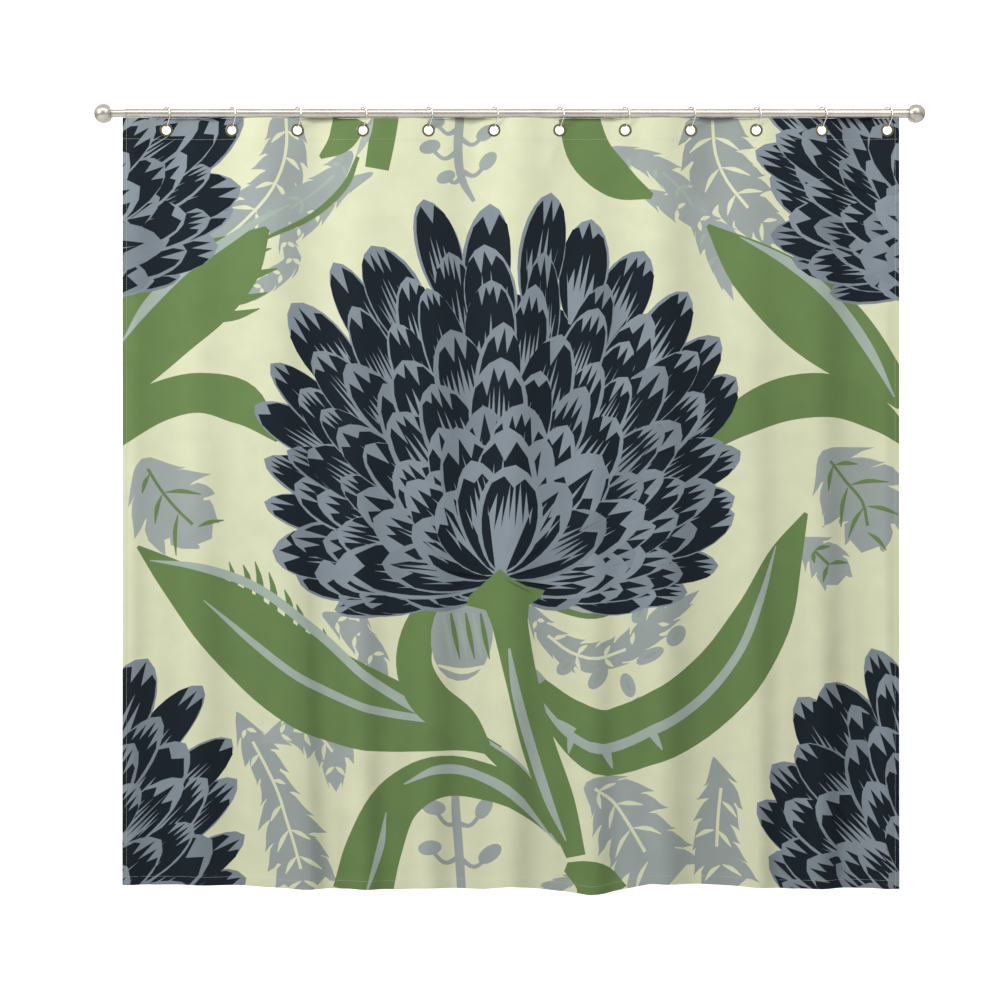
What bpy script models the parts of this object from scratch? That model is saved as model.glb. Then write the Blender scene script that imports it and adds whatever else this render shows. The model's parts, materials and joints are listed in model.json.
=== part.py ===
"""Shower curtain hanging on a two-part curtain rod by twelve roller-ball hooks.

Metres, +Z up, +X along the rod, -Y towards the person who looks at the curtain.
The origin is the middle of the rod's axis. The cloth is modelled as one fold per
hook: each fold runs from one wave's crest to the next, so neighbours hinge there.
"""

import math

import bmesh
import bpy
from mathutils import Matrix, Vector

# Rod: an outer tube, and an inner tube that slides in it.
ROD_RADIUS = 0.011
TUBE_WALL = 0.0011
SEAT_GAP = 0.0003  # between pieces that touch or slide on each other
INNER_TUBE_LENGTH = 1.0
INNER_TUBE_SHOWN = 0.0304  # from the finial's land to the outer tube's collar
ROD_OVERHANG = 0.0417  # from the curtain's edge to the finial's centre
COLLAR_LENGTH = 0.003
COLLAR_LIP = 0.0004  # how far the collar stands out over the outer tube
GLIDE_FLANGE = 0.006
GLIDE_SPIGOT = 0.012
TUBE_SIDES = 24

# Finials: balls on stems that push into a nylon insert in the tube's end.
BALL_RADIUS = 0.0225
STEM_RADIUS = 0.005
STEM_IN_BALL = 0.016
STEM_IN_TUBE = 0.028
INSERT_LENGTH = 0.032
BALL_RINGS = 9

# Curtain: where its hooks are, and the wave that it hangs in.
HOOK_COUNT = 12
HOOK_PITCH = 0.1522
LEFT_MARGIN = 0.1006
RIGHT_MARGIN = 0.0272
CURTAIN_OFFSET = 0.003  # the curtain's middle from the rod's middle
CURTAIN_DROP = 1.785
TOP_MARGIN = 0.0262  # from the grommets' centres up to the cloth's edge
CLOTH_THICKNESS = 0.0008
WAVE_DEPTH = 0.007  # from the rod's line to a crest
FOLD_STEPS = 8  # straight pieces of each fold's outline
CREST_TAPER = 0.004  # the cloth thins to an edge over this, so that folds can close

# Hooks: pear-shaped wire with roller balls on its upper arc.
WIRE_RADIUS = 0.0013
HOOK_SIDE_ROOM = 0.0075  # from the rod's surface to the wire's upper arc
HOOK_REACH_ROOM = 0.0122  # how far the lower arc's centre is below the rod
HOOK_TIP_RADIUS = 0.008
HOOK_MOUTH = 0.004  # the gap behind the cloth where the hook is threaded
ROLLER_RADIUS = 0.0032
ROLLER_COUNT = 5
ROLLER_STEP = math.radians(30)
HOOK_YAW = math.radians(34)  # the most that a hook turns on the rod, and how it rests
ARC_STEP = math.radians(22.5)
WIRE_SIDES_RESOLUTION = 1

# Grommets: a front eyelet whose barrel goes through the cloth, and a back washer.
GROMMET_HOLE_RADIUS = 0.010
GROMMET_RADIUS = 0.0145
BARREL_WALL = 0.0006
FLANGE_THICKNESS = 0.0008
GROMMET_HANG_GAP = 0.0010  # over the wire at the middle of the hole
GROMMET_SIDES = 16

INNER_RADIUS = ROD_RADIUS - TUBE_WALL - SEAT_GAP
CURTAIN_WIDTH = LEFT_MARGIN + (HOOK_COUNT - 1) * HOOK_PITCH + RIGHT_MARGIN
FINIAL_X = CURTAIN_WIDTH / 2 + ROD_OVERHANG
FIRST_HOOK_X = CURTAIN_OFFSET - CURTAIN_WIDTH / 2 + LEFT_MARGIN
HOOK_ARC_RADIUS = ROD_RADIUS + HOOK_SIDE_ROOM

STEEL = ("satin_nickel", (0.56, 0.53, 0.49), 0.28, 1.0)
WIRE = ("polished_wire", (0.72, 0.70, 0.67), 0.2, 1.0)
BRASS = ("antique_brass", (0.20, 0.19, 0.11), 0.35, 1.0)
NYLON = ("white_nylon", (0.75, 0.75, 0.72), 0.5, 0.0)
CLOTH = ("printed_polyester", (0.67, 0.70, 0.49), 0.8, 0.0)


def clear_scene():
    for thing in list(bpy.data.objects):
        bpy.data.objects.remove(thing)


def material(spec):
    name, colour, roughness, metallic = spec
    made = bpy.data.materials.get(name)
    if made is None:
        made = bpy.data.materials.new(name)
        made.use_nodes = True
        shader = made.node_tree.nodes["Principled BSDF"]
        shader.inputs["Base Color"].default_value = (*colour, 1)
        shader.inputs["Roughness"].default_value = roughness
        shader.inputs["Metallic"].default_value = metallic
    return made


def mesh_of(bm, name, smooth_angle=math.radians(40)):
    bmesh.ops.recalc_face_normals(bm, faces=bm.faces)
    mesh = bpy.data.meshes.new(name)
    bm.to_mesh(mesh)
    bm.free()
    mesh.shade_smooth()
    mesh.set_sharp_from_angle(angle=smooth_angle)
    return mesh


def piece(name, mesh, spec, location=(0, 0, 0), turn=0.0, parent=None):
    """An object for one real piece, turned about Z, placed and painted."""
    obj = bpy.data.objects.new(name, mesh)
    bpy.context.scene.collection.objects.link(obj)
    obj.location = location
    obj.rotation_euler = (0, 0, turn)
    obj.parent = parent
    if not mesh.materials:
        mesh.materials.append(material(spec))
    return obj


def pivot(name, location):
    empty = bpy.data.objects.new(name, None)
    bpy.context.scene.collection.objects.link(empty)
    empty.location = location
    return empty


def turned_mesh(name, outline, sides, axis):
    """A closed outline of (along the axis, radius) points, turned about the axis."""
    bm = bmesh.new()
    across = Vector((0, 0, 1))
    corners = [bm.verts.new(axis * along + across * radius) for along, radius in outline]
    edges = [bm.edges.new((a, b)) for a, b in zip(corners, corners[1:])]
    if all(radius > 0 for _, radius in (outline[0], outline[-1])):
        edges.append(bm.edges.new((corners[-1], corners[0])))
    bmesh.ops.spin(
        bm,
        geom=corners + edges,
        cent=(0, 0, 0),
        axis=axis,
        angle=math.tau,
        steps=sides,
        use_merge=True,
    )
    bmesh.ops.remove_doubles(bm, verts=bm.verts, dist=1e-6)
    return mesh_of(bm, name)


def ring_outline(start, end, inner, outer):
    return [(start, inner), (end, inner), (end, outer), (start, outer)]


def evaluated_mesh(obj, name):
    """The object's shape with its modifiers or its bevel, as a plain mesh."""
    graph = bpy.context.evaluated_depsgraph_get()
    graph.update()
    mesh = bpy.data.meshes.new_from_object(obj.evaluated_get(graph))
    mesh.name = name
    return mesh


def cut_or_join(base, tool, operation, name):
    """One mesh from two helper meshes. The helpers are removed."""
    body = piece("helper_body", base, NYLON)
    other = piece("helper_tool", tool, NYLON)
    other.hide_render = True
    other.display_type = "WIRE"
    step = body.modifiers.new("boolean", "BOOLEAN")
    step.operation = operation
    step.solver = "EXACT"
    step.object = other
    mesh = evaluated_mesh(body, name)
    mesh.materials.clear()
    for helper in (body, other):
        bpy.data.objects.remove(helper)
    return mesh


# ---------------------------------------------------------------- rod and finials


def land_depth(tube_radius):
    """How far the ball's flat land for a tube is from the ball's centre."""
    return math.sqrt(BALL_RADIUS**2 - tube_radius**2)


def ball_mesh(name, tube_radius):
    """A ball with a flat land and a blind bore on its +X side."""
    land = land_depth(tube_radius)
    bore = STEM_RADIUS + SEAT_GAP
    first = math.atan2(tube_radius, land)
    blind_end = land - STEM_IN_BALL - SEAT_GAP
    outline = [(blind_end, 0), (blind_end, bore), (land, bore)]
    for i in range(BALL_RINGS + 1):
        angle = first + (math.pi - first) * i / BALL_RINGS
        outline.append((BALL_RADIUS * math.cos(angle), max(0.0, BALL_RADIUS * math.sin(angle))))
    outline[-1] = (-BALL_RADIUS, 0)
    return turned_mesh(name, outline, TUBE_SIDES, Vector((1, 0, 0)))


def solid_round(start, end, radius):
    return [(start, 0), (start, radius), (end, radius), (end, 0)]


def build_finial(side, tube_radius, tube_bore):
    """side is -1 for the left end and 1 for the right end."""
    where = "left" if side < 0 else "right"
    turn = 0.0 if side < 0 else math.pi
    centre = (side * FINIAL_X, 0, 0)
    land = land_depth(tube_radius)
    x_axis = Vector((1, 0, 0))
    piece(f"finial_{where}", ball_mesh(f"finial_{where}", tube_radius), STEEL, centre, turn)
    stem = solid_round(land - STEM_IN_BALL, land + STEM_IN_TUBE, STEM_RADIUS)
    piece(f"finial_stem_{where}", turned_mesh("stem", stem, TUBE_SIDES, x_axis), STEEL, centre, turn)
    insert = ring_outline(
        land + 2 * SEAT_GAP, land + INSERT_LENGTH, STEM_RADIUS + SEAT_GAP, tube_bore - SEAT_GAP
    )
    piece(f"finial_insert_{where}", turned_mesh("insert", insert, TUBE_SIDES, x_axis), NYLON, centre, turn)


def build_rod():
    x_axis = Vector((1, 0, 0))
    bore = ROD_RADIUS - TUBE_WALL
    inner_bore = INNER_RADIUS - TUBE_WALL
    inner_start = -FINIAL_X + land_depth(INNER_RADIUS) + SEAT_GAP
    inner_end = inner_start + INNER_TUBE_LENGTH
    collar_start = inner_start + INNER_TUBE_SHOWN
    mouth = collar_start + COLLAR_LENGTH + SEAT_GAP
    outer_end = FINIAL_X - land_depth(ROD_RADIUS) - SEAT_GAP

    outer = ring_outline(mouth, outer_end, bore, ROD_RADIUS)
    piece("rod_outer_tube", turned_mesh("outer_tube", outer, TUBE_SIDES, x_axis), STEEL)
    inner = ring_outline(inner_start, inner_end, inner_bore, INNER_RADIUS)
    piece("rod_inner_tube", turned_mesh("inner_tube", inner, TUBE_SIDES, x_axis), STEEL)
    collar = ring_outline(
        collar_start, collar_start + COLLAR_LENGTH, INNER_RADIUS + SEAT_GAP, ROD_RADIUS + COLLAR_LIP
    )
    piece("rod_collar", turned_mesh("collar", collar, TUBE_SIDES, x_axis), STEEL)
    plug = [
        (inner_end - GLIDE_SPIGOT, 0),
        (inner_end - GLIDE_SPIGOT, inner_bore - SEAT_GAP),
        (inner_end + SEAT_GAP, inner_bore - SEAT_GAP),
        (inner_end + SEAT_GAP, INNER_RADIUS),
        (inner_end + SEAT_GAP + GLIDE_FLANGE, INNER_RADIUS),
        (inner_end + SEAT_GAP + GLIDE_FLANGE, 0),
    ]
    piece("rod_glide_plug", turned_mesh("glide_plug", plug, TUBE_SIDES, x_axis), NYLON)
    build_finial(-1, INNER_RADIUS, inner_bore)
    build_finial(1, ROD_RADIUS, bore)


# ------------------------------------------------------------------------- hooks


def hook_arc_height():
    """The upper arc's centre, so that the rollers rest on the rod at the hook's yaw."""
    seat = ROD_RADIUS + ROLLER_RADIUS + SEAT_GAP
    heights = []
    for i in range(ROLLER_COUNT):
        angle = ROLLER_STEP * (i - (ROLLER_COUNT - 1) / 2)
        depth = HOOK_ARC_RADIUS * math.sin(angle) * math.cos(HOOK_YAW)
        heights.append(math.sqrt(max(0.0, seat**2 - depth**2)) - HOOK_ARC_RADIUS * math.cos(angle))
    return max(heights)


def hook_tip_height():
    """The lower arc's centre."""
    return -ROD_RADIUS - HOOK_REACH_ROOM


def wire_bottom():
    return hook_tip_height() - HOOK_TIP_RADIUS


def hook_route():
    """Points of the wire in its own YZ plane: from behind, over the rod, down in front,
    through the grommet and up behind the cloth, ending below where it starts."""
    top, low = hook_arc_height(), hook_tip_height()
    lean = math.acos((HOOK_ARC_RADIUS - HOOK_TIP_RADIUS) / (top - low))
    leave = math.pi - lean
    upper = []
    steps = math.ceil(2 * leave / ARC_STEP)
    for i in range(steps + 1):
        angle = leave - 2 * leave * i / steps
        out = Vector((0, math.sin(angle), math.cos(angle)))
        upper.append(Vector((0, 0, top)) + out * HOOK_ARC_RADIUS)
    lower = []
    steps = math.ceil(2 * lean / ARC_STEP)
    for i in range(steps + 1):
        angle = lean - 2 * lean * i / steps
        out = Vector((0, -math.sin(angle), -math.cos(angle)))
        lower.append(Vector((0, 0, low)) + out * HOOK_TIP_RADIUS)
    side = upper[0] - lower[-1]
    along = side.normalized()
    upper_end = lower[-1] + along * (side.length + HOOK_MOUTH) / 2
    lower_end = lower[-1] + along * (side.length - HOOK_MOUTH) / 2
    return [upper_end, *upper, *lower, lower_end]


def wire_mesh(points):
    curve = bpy.data.curves.new("hook_wire", "CURVE")
    curve.dimensions = "3D"
    curve.bevel_depth = WIRE_RADIUS
    curve.bevel_resolution = WIRE_SIDES_RESOLUTION
    curve.use_fill_caps = True
    spline = curve.splines.new("POLY")
    spline.points.add(len(points) - 1)
    for point, place in zip(spline.points, points):
        point.co = (*place, 1)
    helper = bpy.data.objects.new("helper_wire", curve)
    bpy.context.scene.collection.objects.link(helper)
    mesh = evaluated_mesh(helper, "hook_wire")
    bpy.data.objects.remove(helper)
    bm = bmesh.new()
    bm.from_mesh(mesh)
    bmesh.ops.remove_doubles(bm, verts=bm.verts, dist=1e-6)
    return mesh_of(bm, "hook_wire")


def hook_mesh():
    wire = wire_mesh(hook_route())
    rollers = bmesh.new()
    for i in range(ROLLER_COUNT):
        angle = ROLLER_STEP * (i - (ROLLER_COUNT - 1) / 2)
        place = Matrix.Rotation(-angle, 4, "X")
        lift = Matrix.Translation((0, 0, hook_arc_height()))
        out = Matrix.Translation((0, 0, HOOK_ARC_RADIUS)) @ Matrix.Rotation(math.pi / 2, 4, "X")
        bmesh.ops.create_uvsphere(
            rollers, u_segments=8, v_segments=4, radius=ROLLER_RADIUS, matrix=lift @ place @ out
        )
    return cut_or_join(wire, mesh_of(rollers, "rollers"), "UNION", "hook")


def build_hooks():
    shape = hook_mesh()
    for i in range(HOOK_COUNT):
        place = (FIRST_HOOK_X + i * HOOK_PITCH, 0, 0)
        piece(f"hook_{i + 1:02d}", shape, WIRE, place, HOOK_YAW)


# --------------------------------------------------------------- cloth and grommets


def wave(along):
    """The cloth's distance behind the rod's line, from its distance past the first hook."""
    return WAVE_DEPTH * math.sin(math.pi * along / HOOK_PITCH)


def wave_slope(along):
    return WAVE_DEPTH * math.pi / HOOK_PITCH * math.cos(math.pi * along / HOOK_PITCH)


def grommet_height():
    return wire_bottom() + WIRE_RADIUS + GROMMET_HANG_GAP - GROMMET_HOLE_RADIUS


def fold_span(i):
    """Where fold i begins and ends along the rod, from the first hook."""
    start = -LEFT_MARGIN if i == 0 else (i - 0.5) * HOOK_PITCH
    end = i * HOOK_PITCH + RIGHT_MARGIN if i == HOOK_COUNT - 1 else (i + 0.5) * HOOK_PITCH
    return start, end


def fold_outline(i):
    """The fold's plan outline, which ends in a sharp edge at each crest."""
    start, end = fold_span(i)
    left_crest, right_crest = i > 0, i < HOOK_COUNT - 1
    first = start + (CREST_TAPER if left_crest else 0)
    last = end - (CREST_TAPER if right_crest else 0)
    front, back = [], []
    for k in range(FOLD_STEPS + 1):
        along = first + (last - first) * k / FOLD_STEPS
        middle = Vector((along, wave(along)))
        normal = Vector((-wave_slope(along), 1)).normalized()
        front.append(middle - normal * CLOTH_THICKNESS / 2)
        back.append(middle + normal * CLOTH_THICKNESS / 2)
    tip_gap = SEAT_GAP / 2
    right = [Vector((end - tip_gap, wave(end)))] if right_crest else []
    left = [Vector((start + tip_gap, wave(start)))] if left_crest else []
    return front + right + back[::-1] + left


def hole_cutter(i):
    """A round bar along the grommet's axis."""
    along = i * HOOK_PITCH
    hole = GROMMET_HOLE_RADIUS + BARREL_WALL + SEAT_GAP
    bar = bmesh.new()
    turn = Matrix.Rotation(math.atan(wave_slope(along)), 4, "Z")
    place = Matrix.Translation((along, 0, grommet_height()))
    bmesh.ops.create_cone(
        bar,
        cap_ends=True,
        segments=GROMMET_SIDES,
        radius1=hole,
        radius2=hole,
        depth=20 * CLOTH_THICKNESS,
        matrix=place @ turn @ Matrix.Rotation(math.pi / 2, 4, "X"),
    )
    return mesh_of(bar, "hole")


def fold_mesh(i):
    top = grommet_height() + TOP_MARGIN
    bm = bmesh.new()
    face = bm.faces.new([bm.verts.new((p.x, p.y, top)) for p in fold_outline(i)])
    made = bmesh.ops.extrude_face_region(bm, geom=[face])
    moved = [v for v in made["geom"] if isinstance(v, bmesh.types.BMVert)]
    bmesh.ops.translate(bm, verts=moved, vec=(0, 0, -CURTAIN_DROP))
    return cut_or_join(mesh_of(bm, "fold"), hole_cutter(i), "DIFFERENCE", f"curtain_fold_{i + 1:02d}")


def grommet_front_mesh():
    """Turned about Y, which points through the cloth: the flange is on the -Y side."""
    cloth = CLOTH_THICKNESS / 2 + SEAT_GAP
    face = cloth + FLANGE_THICKNESS
    hole, barrel = GROMMET_HOLE_RADIUS, GROMMET_HOLE_RADIUS + BARREL_WALL
    outline = [
        (face, hole),
        (-cloth, hole),
        (-face, hole + BARREL_WALL),
        (-face, GROMMET_RADIUS - FLANGE_THICKNESS / 2),
        (-cloth, GROMMET_RADIUS),
        (-cloth, barrel),
        (face, barrel),
    ]
    return turned_mesh("grommet_front", outline, GROMMET_SIDES, Vector((0, 1, 0)))


def grommet_back_mesh():
    cloth = CLOTH_THICKNESS / 2 + SEAT_GAP
    inner = GROMMET_HOLE_RADIUS + BARREL_WALL + SEAT_GAP
    outline = ring_outline(cloth, cloth + FLANGE_THICKNESS, inner, GROMMET_RADIUS)
    return turned_mesh("grommet_back", outline, GROMMET_SIDES, Vector((0, 1, 0)))


def fold_pivot(i):
    """Where fold i hinges: the first turns at its hook, the others at the crest before."""
    along = 0.0 if i == 0 else (i - 0.5) * HOOK_PITCH
    return Vector((FIRST_HOOK_X + along, wave(along), 0))


def build_curtain():
    front, back = grommet_front_mesh(), grommet_back_mesh()
    for i in range(HOOK_COUNT):
        hinge = fold_pivot(i)
        parent = pivot(f"fold_pivot_{i + 1:02d}", hinge)
        cloth_place = Vector((FIRST_HOOK_X, 0, 0)) - hinge
        grommet_place = Vector((FIRST_HOOK_X + i * HOOK_PITCH, 0, grommet_height())) - hinge
        turn = math.atan(wave_slope(i * HOOK_PITCH))
        label = f"{i + 1:02d}"
        piece(f"curtain_fold_{label}", fold_mesh(i), CLOTH, cloth_place, 0, parent)
        piece(f"grommet_front_{label}", front, BRASS, grommet_place, turn, parent)
        piece(f"grommet_back_{label}", back, BRASS, grommet_place, turn, parent)


def main():
    clear_scene()
    build_rod()
    build_hooks()
    build_curtain()
    bpy.context.view_layer.update()


main()
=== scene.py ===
import json
import math
import random

import bmesh
import bpy
import numpy as np
from bpy.props import FloatProperty, FloatVectorProperty, IntProperty, PointerProperty
from mathutils import Matrix, Vector
from mathutils.geometry import delaunay_2d_cdt


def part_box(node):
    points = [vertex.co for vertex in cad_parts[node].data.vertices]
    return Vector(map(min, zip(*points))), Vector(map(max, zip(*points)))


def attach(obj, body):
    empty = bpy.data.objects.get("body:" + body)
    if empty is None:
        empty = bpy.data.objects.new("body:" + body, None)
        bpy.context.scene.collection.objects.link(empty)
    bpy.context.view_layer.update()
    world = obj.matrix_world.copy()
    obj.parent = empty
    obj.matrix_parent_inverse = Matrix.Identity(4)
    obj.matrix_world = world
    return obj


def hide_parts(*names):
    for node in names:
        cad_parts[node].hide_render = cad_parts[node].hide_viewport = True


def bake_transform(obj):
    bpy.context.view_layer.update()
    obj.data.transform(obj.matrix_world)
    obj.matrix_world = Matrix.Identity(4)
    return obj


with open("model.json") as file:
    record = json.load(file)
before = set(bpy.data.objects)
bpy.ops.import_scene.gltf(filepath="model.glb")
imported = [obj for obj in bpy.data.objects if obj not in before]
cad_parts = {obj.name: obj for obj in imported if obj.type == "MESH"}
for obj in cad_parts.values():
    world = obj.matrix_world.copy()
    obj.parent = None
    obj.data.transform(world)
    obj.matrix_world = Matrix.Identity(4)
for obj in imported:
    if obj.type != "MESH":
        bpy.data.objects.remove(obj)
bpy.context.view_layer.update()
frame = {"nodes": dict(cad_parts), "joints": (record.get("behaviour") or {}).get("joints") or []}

bl_info = {
    "name": "Shower curtain",
    "version": (1, 0, 0),
    "blender": (4, 5, 0),
    "location": "View3D > Sidebar > Curtain",
    "description": "Dresses a shower curtain, its hooks, eyelets and rod around the CAD frame",
    "category": "Object",
}

JOINTS = {joint["name"]: joint for joint in frame["joints"]}
LABELS = [name[-2:] for name in sorted(frame["nodes"]) if name.startswith("hook_")]
MM = 0.001
CM = 0.01
TINY = 1e-7  # closer points than this are one point


def joint_place(name):
    return Vector(JOINTS[name]["pos_m"])


HOOK_X = [joint_place("curtain_swing").x]
HOOK_X += [joint_place(f"hook_turn_{label}").x for label in LABELS[1:]]
PLEAT = [joint_place(f"pleat_{label}") for label in LABELS[1:]]
HOOK_PITCH = HOOK_X[1] - HOOK_X[0]
CLOTH_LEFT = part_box("curtain_fold_01")[0].x
CLOTH_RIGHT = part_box(f"curtain_fold_{LABELS[-1]}")[1].x
ROD_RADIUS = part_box("rod_outer_tube")[1].z
CLOTH_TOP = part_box("curtain_fold_01")[1].z
CLOTH_DROP = CLOTH_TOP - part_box("curtain_fold_01")[0].z
EYELET_Z = sum(corner.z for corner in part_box("grommet_front_01")) / 2
EYELET_DOWN = CLOTH_TOP - EYELET_Z
HOOK_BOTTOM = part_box("hook_01")[0].z


# ------------------------------------------------------------------ colours and nodes


def linear(hex_colour):
    """An sRGB hex colour as linear red, green and blue."""
    parts = [int(hex_colour[i : i + 2], 16) / 255 for i in (1, 3, 5)]
    return tuple(p / 12.92 if p <= 0.04045 else ((p + 0.055) / 1.055) ** 2.4 for p in parts)


def colour(name, hex_colour, description):
    return FloatVectorProperty(
        name=name,
        description=description,
        subtype="COLOR",
        size=3,
        min=0,
        max=1,
        default=linear(hex_colour),
    )


def number(name, default, description, **limits):
    return FloatProperty(name=name, description=description, default=default, **limits)


def length(name, default, description, low=0.0):
    return number(name, default, description, min=low, unit="LENGTH")


def add_node(tree, kind, inputs=None, **settings):
    """A node with its settings. An input is a value, or an output socket to link from."""
    node = tree.nodes.new(kind)
    for key, value in settings.items():
        setattr(node, key, value)
    for key, value in (inputs or {}).items():
        socket = node.inputs[key]
        if isinstance(value, bpy.types.NodeSocket):
            tree.links.new(value, socket)
        else:
            socket.default_value = value
    return node


def new_material(name, base, metallic, roughness, **sockets):
    """A material with its constants on the shader's own sockets, its tree and its shader."""
    material = bpy.data.materials.new(name)
    material.use_nodes = True
    material.diffuse_color = (*base, 1)
    shader = material.node_tree.nodes["Principled BSDF"]
    values = {"Base Color": (*base, 1), "Metallic": metallic, "Roughness": roughness, **sockets}
    for key, value in values.items():
        shader.inputs[key].default_value = value
    return material, material.node_tree, shader


def feed(shader, **sources):
    """Links sockets into a shader's inputs, which are named with _ for a space."""
    for name, source in sources.items():
        shader.id_data.links.new(source, shader.inputs[name.replace("_", " ")])


def finish(make, settings):
    """The material of the same name as the function that makes it, made once."""
    return bpy.data.materials.get(make.__name__) or make(settings)


def brushed_nickel(settings):
    """Nickel-plated steel tube, brushed round and round: fine rings that soften the highlight."""
    material, tree, shader = new_material("brushed_nickel", settings.nickel, 1.0, 0.26)
    place = add_node(tree, "ShaderNodeTexCoord").outputs["Object"]
    # The brush lines are 0.15 mm apart; they are drawn 0.6 mm apart so that they show.
    rings = add_node(tree, "ShaderNodeMapping", {"Vector": place, "Scale": (1600, 90, 90)})
    grain = add_node(
        tree, "ShaderNodeTexNoise", {"Vector": rings.outputs[0], "Scale": 1.0, "Detail": 3.0}
    )
    worn = add_node(tree, "ShaderNodeTexNoise", {"Vector": place, "Scale": 22.0, "Detail": 4.0})
    rough = add_node(
        tree, "ShaderNodeMapRange", {"Value": grain.outputs[0], "To Min": 0.22, "To Max": 0.32}
    )
    tint = add_node(
        tree,
        "ShaderNodeMix",
        {0: worn.outputs[0], 6: (*settings.nickel, 1), 7: (*settings.nickel_shade, 1)},
        data_type="RGBA",
    )
    bump = add_node(
        tree,
        "ShaderNodeBump",
        {"Height": grain.outputs[0], "Strength": 0.08, "Distance": 0.02 * MM},
    )
    feed(shader, Roughness=rough.outputs[0], Base_Color=tint.outputs[2], Normal=bump.outputs[0])
    return material


def plated_wire(settings):
    """Drawn steel wire with bright nickel plating: almost a mirror, with soft draw marks."""
    material, tree, shader = new_material("plated_wire", settings.wire, 1.0, 0.16)
    place = add_node(tree, "ShaderNodeTexCoord").outputs["Object"]
    marks = add_node(tree, "ShaderNodeTexNoise", {"Vector": place, "Scale": 900.0, "Detail": 2.0})
    rough = add_node(
        tree, "ShaderNodeMapRange", {"Value": marks.outputs[0], "To Min": 0.10, "To Max": 0.24}
    )
    bump = add_node(
        tree, "ShaderNodeBump", {"Height": marks.outputs[0], "Strength": 0.2, "Distance": 0.02 * MM}
    )
    feed(shader, Roughness=rough.outputs[0], Normal=bump.outputs[0])
    return material


def aged_brass(settings):
    """Pressed brass eyelet, darkened and rubbed back: dark in the hollows, bright on the crown."""
    material, tree, shader = new_material("aged_brass", settings.brass, 1.0, 0.34)
    place = add_node(tree, "ShaderNodeTexCoord").outputs["Object"]
    patches = add_node(tree, "ShaderNodeTexNoise", {"Vector": place, "Scale": 260.0, "Detail": 5.0})
    edges = add_node(tree, "ShaderNodeNewGeometry").outputs["Pointiness"]
    rubbed = add_node(
        tree,
        "ShaderNodeMapRange",
        {"Value": edges, "From Min": 0.50, "From Max": 0.62, "To Min": 0.0, "To Max": 0.8},
    )
    amount = add_node(
        tree, "ShaderNodeMath", {0: patches.outputs[0], 1: rubbed.outputs[0]}, operation="MULTIPLY"
    )
    tint = add_node(
        tree,
        "ShaderNodeMix",
        {0: amount.outputs[0], 6: (*settings.brass, 1), 7: (*settings.brass_rubbed, 1)},
        data_type="RGBA",
    )
    rough = add_node(
        tree, "ShaderNodeMapRange", {"Value": patches.outputs[0], "To Min": 0.24, "To Max": 0.46}
    )
    feed(shader, Base_Color=tint.outputs[2], Roughness=rough.outputs[0])
    return material


def moulded_nylon(settings):
    """Injection-moulded nylon: a fine spark-eroded grain and a faint waxy shine."""
    material, tree, shader = new_material("moulded_nylon", settings.nylon, 0.0, 0.5)
    place = add_node(tree, "ShaderNodeTexCoord").outputs["Object"]
    grain = add_node(tree, "ShaderNodeTexNoise", {"Vector": place, "Scale": 2500.0, "Detail": 2.0})
    bump = add_node(
        tree, "ShaderNodeBump", {"Height": grain.outputs[0], "Strength": 0.3, "Distance": 0.03 * MM}
    )
    rough = add_node(
        tree, "ShaderNodeMapRange", {"Value": grain.outputs[0], "To Min": 0.42, "To Max": 0.58}
    )
    feed(shader, Normal=bump.outputs[0], Roughness=rough.outputs[0])
    return material


def woven_height(tree, spacing):
    """Plain weave from the flat cloth's own coordinates: warp and weft ribs, `spacing` apart."""
    flat = add_node(tree, "ShaderNodeUVMap", uv_map="flat_cloth").outputs[0]
    turns = math.tau / 20 / spacing
    ribs = []
    for direction in ("X", "Y"):
        rib = add_node(
            tree,
            "ShaderNodeTexWave",
            {"Vector": flat, "Scale": turns, "Distortion": 0.4, "Detail": 1.0, "Detail Scale": 2.0},
            bands_direction=direction,
        )
        ribs.append(rib.outputs["Fac"])
    return add_node(tree, "ShaderNodeMath", {0: ribs[0], 1: ribs[1]}, operation="ADD").outputs[0]


def woven_polyester(settings):
    """Plain-weave polyester, printed: matt, with a soft sheen on the folds, a mottled ink and
    painted shade in the hollows of the weave.
    """
    material, tree, shader = new_material(
        "woven_polyester",
        settings.cream,
        0.0,
        0.72,
        **{"Sheen Weight": 0.05, "Sheen Roughness": 0.5, "Specular IOR Level": 0.15},
    )
    ink = add_node(tree, "ShaderNodeAttribute", attribute_name="print_ink").outputs["Color"]
    flat = add_node(tree, "ShaderNodeUVMap", uv_map="flat_cloth").outputs[0]
    mottle = add_node(tree, "ShaderNodeTexNoise", {"Vector": flat, "Scale": 16.0, "Detail": 5.0})
    # Polyester yarn lies 0.35 mm apart; it is drawn 1.6 mm apart so that it shows.
    weave = woven_height(tree, 1.6 * MM)
    light = add_node(
        tree,
        "ShaderNodeMapRange",
        {
            "Value": mottle.outputs[0],
            "From Min": 0.3,
            "From Max": 0.7,
            "To Min": 0.955,
            "To Max": 1.03,
        },
    )
    # Painted shade and highlight: the weave's hollows darken the ink to 0.965 and its ribs lighten
    # it to 1.015.
    thread = add_node(
        tree,
        "ShaderNodeMapRange",
        {"Value": weave, "From Max": 2.0, "To Min": 0.965, "To Max": 1.015},
    )
    # The random mottle times the weave's painted shade and highlight.
    shade = add_node(
        tree, "ShaderNodeMath", {0: light.outputs[0], 1: thread.outputs[0]}, operation="MULTIPLY"
    )
    dyed = add_node(
        tree, "ShaderNodeVectorMath", {0: ink, "Scale": shade.outputs[0]}, operation="SCALE"
    )
    rough = add_node(
        tree, "ShaderNodeMapRange", {"Value": mottle.outputs[0], "To Min": 0.66, "To Max": 0.80}
    )
    bump = add_node(
        tree, "ShaderNodeBump", {"Height": weave, "Strength": 0.3, "Distance": 0.08 * MM}
    )
    feed(shader, Base_Color=dyed.outputs[0], Roughness=rough.outputs[0], Normal=bump.outputs[0])
    return material


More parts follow.
